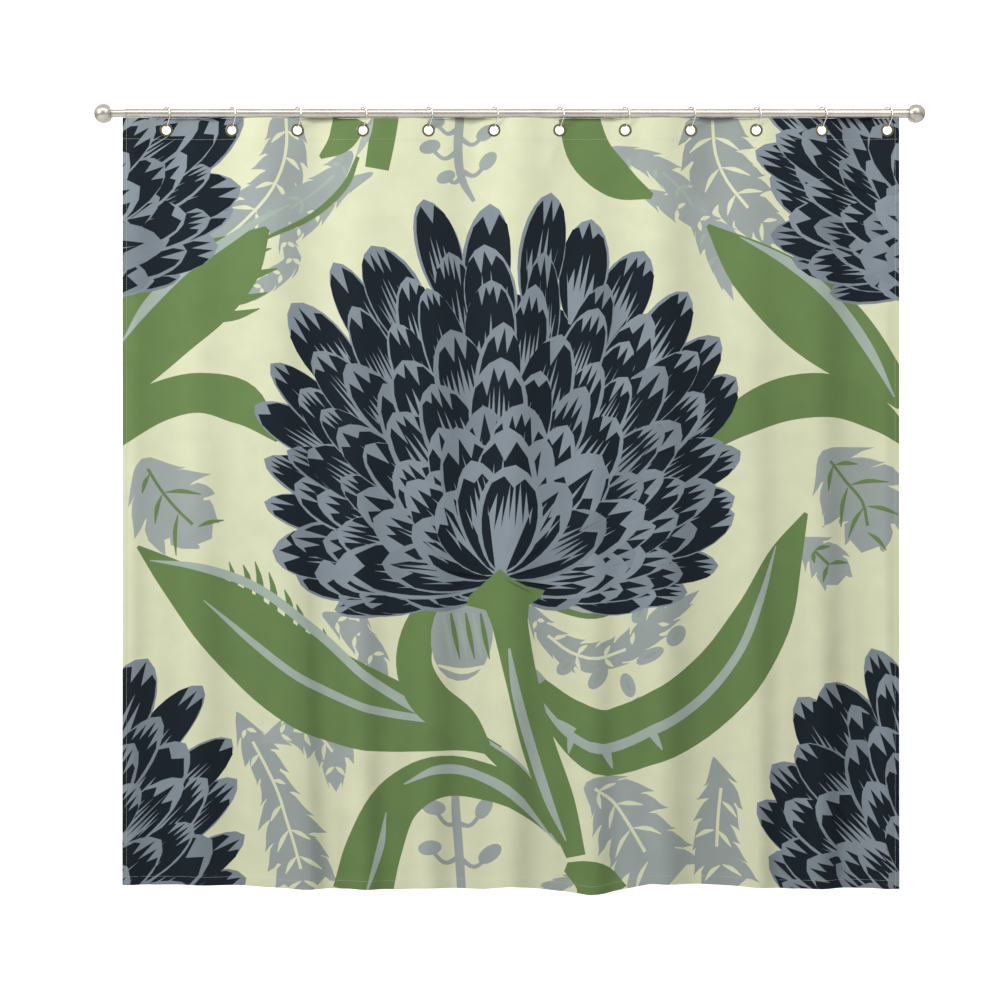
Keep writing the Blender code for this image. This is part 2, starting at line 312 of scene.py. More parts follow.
def sewing_thread(settings):
    """Spun polyester thread: soft, a little hairy, with the twist of its plies and painted shade in
    the grooves between them.
    """
    material, tree, shader = new_material(
        "sewing_thread",
        settings.thread,
        0.0,
        0.8,
        **{"Sheen Weight": 0.3, "Specular IOR Level": 0.2},
    )
    place = add_node(tree, "ShaderNodeTexCoord").outputs["Object"]
    twist = add_node(
        tree, "ShaderNodeTexWave", {"Vector": place, "Scale": 160.0}, bands_direction="DIAGONAL"
    )
    # Painted shade: the grooves of the twist are coloured at 0.8 of the thread's colour.
    groove_shade = [c * 0.8 for c in settings.thread]
    tint = add_node(
        tree,
        "ShaderNodeMix",
        {0: twist.outputs["Fac"], 6: (*settings.thread, 1), 7: (*groove_shade, 1)},
        data_type="RGBA",
    )
    bump = add_node(
        tree,
        "ShaderNodeBump",
        {"Height": twist.outputs["Fac"], "Strength": 0.5, "Distance": 0.05 * MM},
    )
    feed(shader, Base_Color=tint.outputs[2], Normal=bump.outputs[0])
    return material


# ------------------------------------------------------------------------- mesh making


def in_scene(name, data):
    """A new object of a mesh, curve, light or camera."""
    made = bpy.data.objects.new(name, data)
    bpy.context.scene.collection.objects.link(made)
    return made


def new_piece(name, mesh, material):
    mesh.materials.clear()
    mesh.materials.append(material)
    return in_scene(name, mesh)


def stand_in(piece, node, body):
    """A piece takes the place of a CAD node and moves with a body."""
    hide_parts(node)
    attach(piece, body)


def closed(bm, mesh):
    """Writes a closed shape into a mesh, its doubles merged and its faces pointing outwards."""
    bmesh.ops.remove_doubles(bm, verts=bm.verts, dist=TINY)
    bmesh.ops.recalc_face_normals(bm, faces=bm.faces)
    bm.to_mesh(mesh)
    bm.free()
    mesh.shade_smooth()
    return mesh


def turned(name, outline, sides, sharp=math.radians(35)):
    """A closed solid turned about X from (along, radius) points. Its ends may touch the axis."""
    bm = bmesh.new()
    points = [bm.verts.new((along, 0, radius)) for along, radius in outline]
    edges = [bm.edges.new(pair) for pair in zip(points, points[1:])]
    if outline[0][1] > 0:
        edges.append(bm.edges.new((points[-1], points[0])))
    bmesh.ops.spin(
        bm,
        geom=points + edges,
        cent=(0, 0, 0),
        axis=(1, 0, 0),
        angle=math.tau,
        steps=sides,
        use_merge=True,
    )
    mesh = closed(bm, bpy.data.meshes.new(name))
    mesh.set_sharp_from_angle(angle=sharp)
    return mesh


def arc_points(centre, radius, start, end, steps):
    """(along, radius) points on an arc, its angles in degrees from the along axis."""
    angles = [math.radians(start + (end - start) * i / steps) for i in range(steps + 1)]
    return [(centre[0] + radius * math.cos(a), centre[1] + radius * math.sin(a)) for a in angles]


def placed(mesh, name, matrix):
    copy = mesh.copy()
    copy.name = name
    copy.transform(matrix)
    return copy


def grown(obj, name):
    """What the object's modifiers make, as a plain mesh. The object is removed."""
    graph = bpy.context.evaluated_depsgraph_get()
    mesh = bpy.data.meshes.new_from_object(obj.evaluated_get(graph))
    mesh.name = name
    data = obj.data
    bpy.data.objects.remove(obj)
    if data.users == 0 and isinstance(data, bpy.types.Mesh):
        bpy.data.meshes.remove(data)
    return mesh


def swept_mesh(name, points, radius, resolution):
    """A round wire with round ends along the points."""
    curve = bpy.data.curves.new(name, "CURVE")
    curve.dimensions = "3D"
    curve.bevel_depth = radius
    curve.bevel_resolution = resolution
    curve.use_fill_caps = True
    spline = curve.splines.new("POLY")
    start, end = (points[0] - points[1]).normalized(), (points[-1] - points[-2]).normalized()
    # How far past the wire's end, and how thick there, as shares of its radius.
    caps = [(1.0, 0.02), (0.87, 0.5), (0.5, 0.87)]
    route = [(points[0] + start * radius * far, thick) for far, thick in caps]
    route += [(point, 1.0) for point in points]
    route += [(points[-1] + end * radius * far, thick) for far, thick in reversed(caps)]
    spline.points.add(len(route) - 1)
    for target, (place, size) in zip(spline.points, route):
        target.co = (*place, 1)
        target.radius = size
    mesh = grown(in_scene(name, curve), name)
    bm = bmesh.new()
    bm.from_mesh(mesh)
    return closed(bm, mesh)


def polyline_mesh(name, lines):
    """Open chains of edges, one for each list of points."""
    points, edges = [], []
    for line in lines:
        first = len(points)
        points += [tuple(point) for point in line]
        edges += [(first + i, first + i + 1) for i in range(len(line) - 1)]
    mesh = bpy.data.meshes.new(name)
    mesh.from_pydata(points, edges, [])
    return mesh


def row_tree(name, inputs):
    """An empty Geometry Nodes tree with a geometry input and named sizes."""
    tree = bpy.data.node_groups.new(name, "GeometryNodeTree")
    tree.interface.new_socket("Geometry", in_out="INPUT", socket_type="NodeSocketGeometry")
    for label, default in inputs:
        socket = tree.interface.new_socket(label, in_out="INPUT", socket_type="NodeSocketFloat")
        socket.default_value = default
    tree.interface.new_socket("Geometry", in_out="OUTPUT", socket_type="NodeSocketGeometry")
    return tree, tree.nodes.new("NodeGroupInput")


def row_of_copies(name, spacing, radius, stretch, segments, rings, material):
    """Geometry Nodes: round-ended copies along every line, `spacing` apart and `stretch` times
    longer than thick."""
    tree, given = row_tree(name, [("Spacing", spacing), ("Radius", radius), ("Stretch", stretch)])
    path = add_node(tree, "GeometryNodeMeshToCurve", {"Mesh": given.outputs["Geometry"]})
    steps = add_node(
        tree,
        "GeometryNodeResampleCurve",
        {"Curve": path.outputs[0], "Length": given.outputs["Spacing"]},
        mode="LENGTH",
    )
    tangent = add_node(tree, "GeometryNodeInputTangent")
    turn = add_node(
        tree, "FunctionNodeAlignRotationToVector", {"Vector": tangent.outputs[0]}, axis="Z"
    )
    ball = add_node(
        tree,
        "GeometryNodeMeshUVSphere",
        {"Segments": segments, "Rings": rings, "Radius": given.outputs["Radius"]},
    )
    size = add_node(
        tree, "ShaderNodeCombineXYZ", {"X": 1.0, "Y": 1.0, "Z": given.outputs["Stretch"]}
    )
    copies = add_node(
        tree,
        "GeometryNodeInstanceOnPoints",
        {
            "Points": steps.outputs[0],
            "Instance": ball.outputs[0],
            "Rotation": turn.outputs[0],
            "Scale": size.outputs[0],
        },
    )
    real = add_node(tree, "GeometryNodeRealizeInstances", {"Geometry": copies.outputs[0]})
    painted = add_node(
        tree, "GeometryNodeSetMaterial", {"Geometry": real.outputs[0], "Material": material}
    )
    add_node(tree, "NodeGroupOutput", {"Geometry": painted.outputs[0]})
    return tree


def run_tree(name, source, tree, values):
    """The plain mesh that a Geometry Nodes tree makes from a source mesh."""
    helper = in_scene(name, source)
    modifier = helper.modifiers.new("row", "NODES")
    modifier.node_group = tree
    for item in tree.interface.items_tree:
        if item.in_out == "INPUT" and item.name in values:
            modifier[item.identifier] = values[item.name]
    mesh = grown(helper, name)
    mesh.shade_smooth()
    return mesh


# ----------------------------------------------------------------------- printed design
#
# The design is drawn on the flat cloth, in centimetres from its top left corner, across
# and down, as filled shapes in the order that they are printed: (ink, tone, outline).
# A path is a row of (across, down, width).

INKS = ("cream", "green", "sage", "navy", "steel_blue", "vein")


def smoothed(points, steps=5):
    """A smooth line through the points, with any further numbers carried along."""
    p = np.array(points, float)
    p = np.vstack([2 * p[0] - p[1], p, 2 * p[-1] - p[-2]])
    t = np.linspace(0, 1, steps, endpoint=False)[:, None]
    parts = []
    for a, b, c, d in zip(p, p[1:], p[2:], p[3:]):
        bend, twist = 2 * a - 5 * b + 4 * c - d, 3 * b - a - 3 * c + d
        parts.append(0.5 * (2 * b + (c - a) * t + bend * t**2 + twist * t**3))
    return np.vstack([*parts, p[-2:-1]])


def sideways(line):
    """Unit vectors across a line."""
    along = np.gradient(line, axis=0)
    along /= np.maximum(np.linalg.norm(along, axis=1), 1e-9)[:, None]
    return np.stack([-along[:, 1], along[:, 0]], 1), along


def ribbon(path, steps=3):
    """A shape along a path of (across, down, width)."""
    line = smoothed(path, steps)
    middle, half = line[:, :2], np.maximum(line[:, 2:3], 0.02) / 2
    across, _ = sideways(middle)
    return np.vstack([middle + across * half, (middle - across * half)[::-1]])


def oval(x, y, long, wide, turn, points=14):
    angles = np.linspace(0, math.tau, points, endpoint=False)
    c, s = math.cos(math.radians(turn)), math.sin(math.radians(turn))
    u, v = np.cos(angles) * long / 2, np.sin(angles) * wide / 2
    return np.stack([x + u * c - v * s, y + u * s + v * c], 1)


def petal_width(t):
    """A petal's width at shares of its length, as a share of its nominal width."""
    return 2.30 * np.maximum(t, 0) ** 0.70 * np.maximum(1 - t, 0) ** 0.60


def petal(base, tip, width, bend, comb_share, dark, rng):
    """One petal: a pale rim, a dark body with a toothed end, and a pale comb of strokes that
    rises from its foot. `dark`, from 0 to 1, leaves less of the rim to be seen."""
    base, tip = np.array(base, float), np.array(tip, float)
    along = tip - base
    size = np.linalg.norm(along)
    along /= size
    across = np.array([-along[1], along[0]])

    def place(t, side):
        t, side = np.asarray(t, float), np.asarray(side, float)
        drift = bend * size * t**2
        return base + np.outer(t * size, along) + np.outer(side + drift, across)

    tone = rng.uniform(0.86, 1.08)
    t = np.array([0.0, 0.06, 0.15, 0.27, 0.40, 0.53, 0.66, 0.78, 0.88, 0.95, 1.0])
    half = petal_width(t) * width / 2
    rim = np.vstack([place(t, half), place(t[::-1][1:-1], -half[::-1][1:-1])])

    teeth = rng.choice((2, 3, 3, 4, 5))
    capped = rng.choice((0.62, 0.70, 0.76, 0.80, 0.84, 0.88))
    capped += dark * 0.6 * (0.92 - capped)
    lean = rng.uniform(-0.05, 0.05) * width
    t = np.linspace(0.0, capped, 8)
    half = petal_width(t) * width / 2 * (rng.uniform(0.84, 0.92) + 0.06 * dark)
    left, right = place(t, half + lean * t), place(t[::-1], -half[::-1] + lean * t[::-1])
    end_t, end_side = [], []
    room = 1 - capped
    for i in range(1, 2 * teeth):
        share = i / (2 * teeth)
        high = capped + room * 0.72 * math.sin(math.pi * share)
        if i % 2 == 0:
            high -= rng.uniform(0.10, 0.22)
        end_t.append(high + rng.uniform(-0.02, 0.02))
        end_side.append(half[-1] * (1 - 2 * share) * 0.94 + lean * capped)
    body = np.vstack([left, place(end_t, end_side), right])

    strokes = rng.choice((6, 7, 8, 9))
    comb_t, comb_side = [0.0], [0.06 * width]
    for i in range(strokes):
        share = (i + 0.5) / strokes
        side = 1 - 2 * share
        top = comb_share + 0.10 - 0.24 * side**2 + rng.uniform(-0.10, 0.08)
        low = comb_share * 0.62 + rng.uniform(-0.08, 0.05)
        if i:
            edge = 1 - 2 * i / strokes
            comb_t.append(low)
            comb_side.append(float(petal_width(low)) * width / 2 * 0.86 * edge)
        comb_t.append(top)
        stray = rng.uniform(-0.015, 0.015) * width
        comb_side.append(float(petal_width(top)) * width / 2 * 0.80 * side + stray)
    comb_t.append(0.0)
    comb_side.append(-0.06 * width)
    comb = place(comb_t, comb_side)
    return [("steel_blue", tone, rim), ("navy", 1.0, body), ("steel_blue", tone * 1.04, comb)]


# How far the flower head reaches from its foot, at angles from straight up.
HEAD_REACH = (
    (0, 89.4), (27, 81.73), (45, 75.7), (56, 66.87), (68, 59.44), (80, 53.87), (93, 45.51),
    (104, 34.83),
)
DOME = 0.74  # the dark dome behind the petals, as a share of that reach
HEAD_ROWS = 8
ROW_STEP = 0.108  # how much shorter each row is than the one behind it
OUTER_PETALS = 23
# The two rows in front: how many petals, their length, their width and their comb's share.
FRONT_ROWS = ((9, 34.83, 14.4, 0.66), (8, 26.01, 14.4, 0.74))
CALYX = (
    (0, -1.39), (2.79, 0.93), (6.04, 2.55), (10.45, 3.48), (9.52, 5.11), (6.73, 6.97),
    (6.04, 16.25), (0, 17.65), (-1.86, 11.61), (-3.25, 8.13), (-7.89, 6.97), (-6.97, 4.64),
    (-3.25, 1.39),
)


def outwards(degrees):
    """The way across and down at an angle from straight up."""
    radians = math.radians(degrees)
    return np.array([math.sin(radians), -math.cos(radians)])


def from_the_sides(count):
    """The petals of a row in the order of printing: the outermost first."""
    return sorted(range(count), key=lambda k: -abs(k - (count - 1) / 2))


def flower_head(foot, seed):
    """Rows of overlapping petals on a dome, the outer rows behind and the inner ones in front."""
    rng = random.Random(seed)
    angles, reaches = zip(*HEAD_REACH)
    foot = np.array(foot, float)
    dome = [
        foot + outwards(turn) * DOME * np.interp(abs(turn), angles, reaches)
        for turn in range(-100, 101, 10)
    ]
    shapes = [("navy", 1.0, np.array([*dome, foot]))]
    for row in range(HEAD_ROWS):
        share = 1.0 - ROW_STEP * row
        count = max(6, round(OUTER_PETALS * share**0.8))
        for k in from_the_sides(count):
            turn = -102 + 204 * (k + (0.5 if row % 2 else 0.30) + rng.uniform(-0.16, 0.16)) / count
            far = share * np.interp(abs(turn), angles, reaches) * rng.uniform(0.965, 1.03)
            long = rng.uniform(24.15, 32.51) * (1.0 if share > 0.45 else 0.86)
            base = foot + outwards(turn) * max(far - long, 0.93)
            tip = foot + outwards(turn) * far
            width = rng.uniform(9.29, 13.93) * (1.15 if share < 0.6 else 1.0)
            comb = 0.56 + 0.16 * (1 - share) + rng.uniform(-0.07, 0.08)
            shapes += petal(base, tip, width, rng.uniform(-0.09, 0.09), comb, share**2, rng)
    for count, far, wide, comb in FRONT_ROWS:
        for k in from_the_sides(count):
            turn = -96 + 192 * (k + 0.5) / count + rng.uniform(-5, 5)
            tip = foot + outwards(turn) * far * rng.uniform(0.85, 1.12)
            width = wide * rng.uniform(0.8, 1.15)
            shapes += petal(foot, tip, width, rng.uniform(-0.05, 0.05), comb, 0.0, rng)
    shapes.append(("green", 1.0, foot + CALYX))
    return shapes


# One lobe of a pale leaf: how far along the lobe, and how far out from the leaf's middle.
LOBE = ((0.0, 0.70), (0.25, 0.90), (0.6, 1.0), (1.0, 1.08), (1.26, 1.18), (1.1, 0.92), (1.0, 0.76))
LOBE_LENGTH = 5.57
RIB_FROM, VEINS_FROM = 5.11, 3.72  # how wide a pale leaf is where it has a rib, and veins


def lobed(path, rng):
    """The outline of a leaf with curled lobes that point towards its tip."""
    line = smoothed(path, 6)
    across, _ = sideways(line[:, :2])
    walked = np.concatenate([[0], np.cumsum(np.linalg.norm(np.diff(line[:, :2], axis=0), axis=1))])
    count = max(3, round(walked[-1] / LOBE_LENGTH))
    step = 0.9 * walked[-1] / count
    edges = []
    for side in (1, -1):
        edge = [line[0, :2]]
        for k in range(count):
            reach = rng.uniform(0.85, 1.15)
            for share, out in LOBE:
                at = 0.02 * walked[-1] + step * (k + share + rng.uniform(-0.06, 0.06))
                x, y, wide, nx, ny = (
                    np.interp(at, walked, row) for row in (*line.T[:3], *across.T)
                )
                push = side * max(wide, 0.46) / 2 * out * reach
                edge.append((x + nx * push, y + ny * push))
        edge.append(line[-1, :2])
        edges.append(np.array(edge, float))
    return np.vstack([edges[0], edges[1][::-1]])


def feathered_leaf(path, ink, rng):
    """A ragged pale leaf with a rib down its middle and side veins, in a second ink."""
    shapes = [("sage", rng.uniform(0.95, 1.05), lobed(path, rng))]
    line = smoothed(path, 6)
    across, along = sideways(line[:, :2])
    broad = line[:, 2] > RIB_FROM
    if broad.sum() > 8:
        rib = line[broad][1:-2:4]
        shapes.append((ink, 1.0, ribbon([(x, y, 0.7) for x, y, _ in rib])))
    for i in range(3, len(line) - 2, 4):
        for side in (-1, 1):
            if line[i, 2] < VEINS_FROM or rng.random() < 0.12:
                continue
            foot = line[i, :2] + across[i] * side * line[i, 2] * 0.03
            reach = line[i, 2] * rng.uniform(0.28, 0.42)
            tip = foot + along[i] * line[i, 2] * rng.uniform(0.20, 0.36) + across[i] * side * reach
            bow = (foot + tip) / 2 + along[i] * reach * -0.10
            shapes.append((ink, 1.0, ribbon([(*foot, 0.23), (*bow, 1.04), (*tip, 0.23)])))
    return shapes


def twig(path, buds, rng):
    """A thin stalk with side stalks that end in buds."""
    shapes = [("sage", 1.0, ribbon(path, 4))]
    for fx, fy, bx, by, size in buds:
        middle = ((fx + bx) / 2, (fy + by) / 2 + 0.35 * abs(bx - fx), 0.93)
        shapes.append(("sage", 1.0, ribbon([(fx, fy, 1.39), middle, (bx, by, 0.93)], 4)))
        turn = math.degrees(math.atan2(by - fy, bx - fx))
        shapes.append(("sage", rng.uniform(0.95, 1.05), oval(bx, by, size, size * 0.62, turn - 25)))
    return shapes


# Green leaves and stems, and the veins on them: (ink, path).
LEAVES = (
    # the big leaf on the left, its ragged upper edge and its two veins
    ("green", ((3.48, 99.38, 0.7), (11.38, 106.12, 7.89), (23.68, 116.1, 16.72),
        (38.78, 128.64, 20.43), (53.87, 136.07, 19.5), (68.96, 140.25, 13.47),
        (80.57, 143.96, 5.57), (87.54, 146.75, 2.32))),
    ("vein", ((18.81, 111.92, 0.7), (29.49, 121.21, 1.63), (41.1, 129.57, 1.86),
        (55.03, 136.07, 1.86), (67.8, 138.86, 1.63), (76.39, 140.25, 1.16))),
    ("vein", ((6.27, 102.63, 0.93), (19.04, 104.49, 1.86), (32.28, 109.6, 2.09),
        (45.28, 119.35, 2.09), (56.19, 129.1, 2.09), (67.8, 136.53, 2.32), (80.57, 143.04, 2.79),
        (92.18, 151.39, 2.79), (101.47, 162.54, 1.63))),
    # the long leaf that curls up on the right
    ("green", ((158.59, 91.49, 0.93), (153.48, 102.63, 8.36), (148.38, 116.56, 13.47),
        (139.55, 130.03, 15.33), (127.01, 140.25, 16.25), (113.08, 143.96, 15.33),
        (103.33, 138.86, 10.68), (96.83, 130.96, 3.25))),
    ("vein", ((151.63, 99.15, 0.7), (147.91, 111.92, 1.63), (142.8, 124.46, 1.86),
        (134.44, 135.14, 2.09), (123.76, 142.11, 2.32), (112.15, 145.36, 2.32),
        (102.86, 141.64, 1.86), (95.9, 133.75, 1.16))),
    # the leaf that curls down on the left of the stem's foot
    ("green", ((104.72, 169.04, 1.86), (94.97, 159.75, 5.57), (84.29, 153.72, 8.36),
        (72.68, 152.79, 9.75), (63.39, 158.36, 11.15), (58.28, 169.04, 13),
        (55.5, 179.72, 13.93))),
    ("vein", ((101.47, 168.11, 0.93), (92.18, 158.36, 2.09), (82.9, 152.32, 2.09),
        (73.61, 150.93, 2.09), (65.25, 154.18, 1.39))),
    ("vein", ((61.07, 160.68, 0.7), (59.68, 169.04, 1.63), (56.42, 179.72, 2.32))),
    # the stalk of the big left leaf
    ("green", ((84.29, 145.82, 2.32), (92.18, 153.25, 4.18), (100.54, 164.4, 3.72))),
    # the looped leaf that holds the pod
    ("green", ((87.54, 107.74, 6.04), (77.32, 110.06, 6.97), (69.89, 117.03, 7.89),
        (67.57, 126.32, 8.36), (71.29, 134.68, 9.29), (78.72, 140.25, 7.89),
        (84.29, 145.82, 2.79))),
    # the stem
    ("green", ((87.54, 102.63, 10.68), (89.86, 117.03, 8.36), (92.65, 130.5, 7.43),
        (96.36, 144.89, 7.89), (101.01, 157.9, 7.89), (105.19, 169.97, 4.64))),
    ("vein", ((89.4, 121.21, 0.93), (91.25, 132.82, 2.09), (94.51, 144.89, 2.32),
        (98.69, 157.43, 2.09), (102.86, 166.72, 1.16))),
    # the short leaf under the head, on the right
    ("green", ((93.11, 108.21, 1.86), (101.47, 111.92, 4.64), (111.22, 112.85, 5.11),
        (121.44, 109.6, 1.16))),
    ("vein", ((99.61, 111.92, 0.46), (108.44, 113.78, 1.16), (117.73, 111.46, 0.7))),
    # the leaves at the left edge
    ("green", ((33.67, 25.54, 1.39), (26.7, 32.51, 13.47), (17.88, 39.01, 19.5),
        (7.66, 46.44, 21.36), (-2.55, 54.33, 22.29), (-12.31, 61.77, 22.29))),
    ("vein", ((-0.23, 52.01, 2.79), (6.27, 42.72, 2.55), (13.7, 35.29, 2.55), (21.13, 30.19, 2.32),
        (29.95, 24.61, 1.63), (38.78, 19.97, 1.16))),
    ("green", ((35.99, 74.77, 0.93), (28.1, 66.41, 9.75), (17.88, 63.62, 9.29),
        (7.66, 65.94, 9.29), (-2.55, 71.52, 10.22))),
    # the leaves at the right edge
    ("green", ((135.84, 24.61, 0.93), (145.12, 33.44, 11.61), (155.34, 41.8, 17.18),
        (166.02, 50.62, 17.18), (177.17, 60.84, 9.29), (181.58, 65.94, 4.64))),
    ("vein", ((143.27, 27.4, 1.16), (155.34, 33.9, 2.32), (165.56, 42.72, 2.55),
        (172.99, 52.94, 2.32), (179.03, 64.55, 2.09))),
    ("green", ((134.44, 78.02, 0.93), (142.8, 70.12, 7.89), (153.95, 65.02, 10.22),
        (166.02, 64.55, 9.75), (175.78, 69.2, 6.97), (182.74, 75.7, 2.32))),
    # the leaves at the top edge
    ("green", ((45.74, 8.82, 0.93), (50.39, 5.11, 6.04), (53.17, -0.46, 8.36))),
    ("green", ((58.98, 11.61, 5.57), (60.14, 5.11, 6.04), (61.07, -0.46, 6.04))),
    ("vein", ((54.1, 8.82, 1.16), (56.42, 4.18, 1.86), (58.28, -0.93, 1.86))),
    ("green", ((122.83, 18.11, 1.39), (114.94, 14.4, 8.36), (108.44, 7.89, 10.22),
        (105.65, -0.93, 9.29))),
    ("green", ((32.28, 28.33, 0.7), (43.42, 22.76, 1.39), (51.32, 15.79, 1.63),
        (54.57, 8.82, 0.93))),
    # the leaf at the bottom edge
    ("green", ((102.86, 172.76, 2.32), (108.44, 175.08, 9.29), (111.69, 180.65, 12.07))),
)

# Pale feathered leaves: (ink of the veins, path).
FEATHERS = (
    ("cream", ((37.85, -1.39, 7.89), (37.85, 7.43, 8.82), (34.6, 16.72, 10.22),
        (26.24, 25.54, 10.68), (16.95, 32.51, 6.97))),
    ("vein", ((53.17, 7.43, 3.25), (48.07, 13.93, 6.04), (40.17, 19.97, 6.97),
        (31.35, 25.54, 5.11))),
    ("cream", ((58.28, 12.54, 1.39), (49.92, 16.72, 4.18), (43.89, 22.76, 4.64),
        (38.31, 27.86, 3.72), (39.24, 33.44, 4.18), (33.2, 38.55, 4.18), (27.17, 42.26, 1.86))),
    ("cream", ((136.77, -1.39, 13.93), (138.16, 9.75, 15.33), (143.73, 19.04, 12.07),
        (153.95, 29.26, 4.18))),
    ("vein", ((112.15, 7.43, 3.72), (122.37, 10.68, 5.11), (130.26, 17.18, 6.04),
        (134.91, 25.08, 5.57), (138.16, 33.44, 4.18), (141.87, 42.26, 1.86))),
    ("cream", ((120.05, 16.72, 1.86), (127.48, 20.43, 4.64), (135.37, 24.15, 4.64),
        (143.27, 27.4, 1.86))),
    ("green", ((4.41, 78.95, 4.64), (8.59, 85.91, 15.33), (14.16, 92.42, 18.11),
        (20.67, 97.52, 5.11))),
    ("green", ((162.31, 77.09, 4.64), (167.88, 84.06, 17.18), (172.99, 91.49, 16.25),
        (171.6, 100.77, 6.97))),
    ("green", ((157.2, 97.99, 3.25), (163.24, 102.63, 9.29), (166.02, 108.21, 6.04))),
    ("cream", ((26.24, 137.93, 1.39), (30.88, 146.29, 6.97), (35.53, 155.11, 6.97),
        (38.31, 163.47, 11.15), (41.1, 172.29, 12.54), (42.49, 180.42, 11.61))),
    ("cream", ((32.28, 144.43, 1.86), (41.1, 141.64, 7.89), (48.07, 145.36, 10.22),
        (49.46, 156.04, 2.32))),
    ("cream", ((46.21, 114.71, 1.86), (53.17, 118.89, 6.97), (58.75, 125.39, 5.11),
        (60.6, 132.82, 1.39))),
    ("cream", ((55.03, 111.92, 0.93), (56.42, 121.21, 2.79), (54.57, 128.64, 1.39))),
    ("cream", ((107.51, 152.79, 4.64), (113.55, 157.43, 12.07), (119.12, 166.72, 15.33),
        (125.62, 179.72, 17.18))),
    ("cream", ((137.23, 148.61, 0.93), (139.09, 157.43, 8.36), (137.69, 167.65, 10.68),
        (140.95, 180.42, 11.61))),
    ("cream", ((106.12, 174.15, 1.86), (101.47, 176.94, 3.25), (96.83, 177.87, 0.93))),
    ("cream", ((94.04, 112.85, 2.32), (98.69, 119.82, 6.04), (107.04, 124.46, 6.97),
        (116.8, 123.07, 6.04), (125.62, 116.1, 5.11), (133.98, 109.6, 1.86))),
    ("cream", ((95.43, 127.71, 1.39), (101.47, 135.14, 2.79), (110.76, 139.32, 3.25),
        (120.05, 136.53, 3.72), (126.55, 132.82, 1.86))),
)

# Small teeth on the edges of two leaves, and barbs on a vein: (across, down, heading).
SPIKES = (
    (25.31, 112.38), (28.56, 110.99), (31.35, 112.85), (34.6, 114.71), (38.31, 116.56),
    (41.1, 119.82), (43.89, 123.07), (47.14, 126.78), (50.39, 130.5), (53.64, 133.75),
)
EDGE_TEETH = (
    (29.49, 32.04), (30.88, 36.69), (28.56, 42.26), (26.7, 45.98),
)
BARBS = (
    (104.72, 141.64, 215), (104.26, 142.11, 100), (111.69, 145.36, 205), (112.15, 145.82, 70),
    (122.37, 142.57, 330), (122.83, 143.04, 60),
)
# Ovals: (across, down, length, width, turn in degrees).
BERRIES = (
    (102.86, 126.78, 5.11, 3.25, -40), (110.3, 129.1, 6.04, 3.48, -48),
    (117.26, 131.43, 6.04, 3.25, 70), (122.37, 124.92, 6.97, 3.02, -28),
    (128.41, 120.28, 5.57, 3.95, -50), (125.62, 111.46, 6.04, 4.18, -30),
    (120.05, 114.71, 5.57, 3.25, -60),
)
POD = (78.72, 119.82, 21.36, 14.4, 96)
# Stalks: the path, and side stalks as (from across, down, to across, down, bud length).
TWIGS = (
    (
        ((78.72, 180.42, 2.09), (78.02, 169.97, 2.09), (77.32, 161.15, 2.09),
            (77.09, 155.11, 1.63)),
        ((77.79, 163.47, 72.21, 159.75, 5.57), (77.79, 163.47, 83.82, 159.75, 5.57),
            (78.02, 171.36, 71.29, 169.04, 5.57), (78.02, 171.36, 85.22, 170.43, 6.04),
            (77.09, 156.04, 77.09, 153.72, 5.11)),
    ),
    (
        ((81.5, 19.04, 0.93), (78.72, 13.93, 1.86), (77.79, 7.43, 2.09), (78.25, -0.93, 2.09)),
        ((77.79, 7.43, 71.29, 6.5, 5.11), (78.02, 4.18, 84.29, 3.25, 5.11),
            (78.72, 13.47, 75, 13.47, 4.64), (78.72, 12.07, 84.75, 9.75, 5.11),
            (77.79, 2.32, 72.68, 0.93, 4.18)),
    ),
)


def design(rng):
    """Every printed shape, in the order of printing."""
    shapes = []
    for ink, path in FEATHERS:
        shapes += feathered_leaf(path, ink, rng)
    for path, buds in TWIGS:
        shapes += twig(path, buds, rng)
    for x, y, long, wide, turn in BERRIES:
        shapes.append(("sage", rng.uniform(0.94, 1.04), oval(x, y, long, wide, turn)))
        shapes.append(("vein", 0.8, oval(x, y, long * 0.45, wide * 0.3, turn)))
    for x, y in SPIKES:
        high = rng.uniform(6.04, 10.68)
        spike = [(x, y + 2.32, 2.55), (x + 0.46, y - high / 2, 1.63), (x - 0.7, y - high, 0.23)]
        shapes.append(("green", 1.0, ribbon(spike)))
    for x, y in EDGE_TEETH:
        tooth = [(x - 4.64, y, 2.79), (x, y - 0.46, 2.09), (x + 5.11, y - 1.86, 0.23)]
        shapes.append(("green", 1.0, ribbon(tooth)))
    for ink, path in LEAVES:
        if ink == "vein":
            path = [(*path[0][:2], 0.23), *path[1:-1], (*path[-1][:2], 0.35)]
        shapes.append((ink, rng.uniform(0.97, 1.03), ribbon(path, 6)))
    for x, y, turn in BARBS:
        step = 4.64 * math.cos(math.radians(turn)), 4.64 * math.sin(math.radians(turn))
        middle, tip = (x + step[0] / 2, y + step[1] / 2, 1.39), (x + step[0], y + step[1], 0.23)
        shapes.append(("vein", 1.0, ribbon([(x, y, 2.09), middle, tip])))
    x, y, long, wide, turn = POD
    shapes.append(("sage", 1.0, oval(x, y, long, wide, turn, 20)))
    for k in range(6):
        fx = x - wide * 0.30 + wide * 0.12 * k
        head, foot = (fx, y - long * 0.24, 0.46), (fx + 2.09, y + long * 0.26, 0.23)
        stroke = [head, (fx + 0.93, y, 1.16), foot]
        shapes.append(("green" if k % 2 else "vein", 0.95, ribbon(stroke)))
    rim = [(x - 5.57, y + 6.97, 0.46), (x, y + 8.36, 1.39), (x + 5.57, y + 6.97, 0.46)]
    shapes.append(("cream", 1.0, ribbon(rim, 4)))
    return shapes


HEAD_FOOT = (87.54, 105.88)
HEAD_REPEAT = (115.4, -72.45, 92.88)  # to the next head: across, and down in the rows beside it


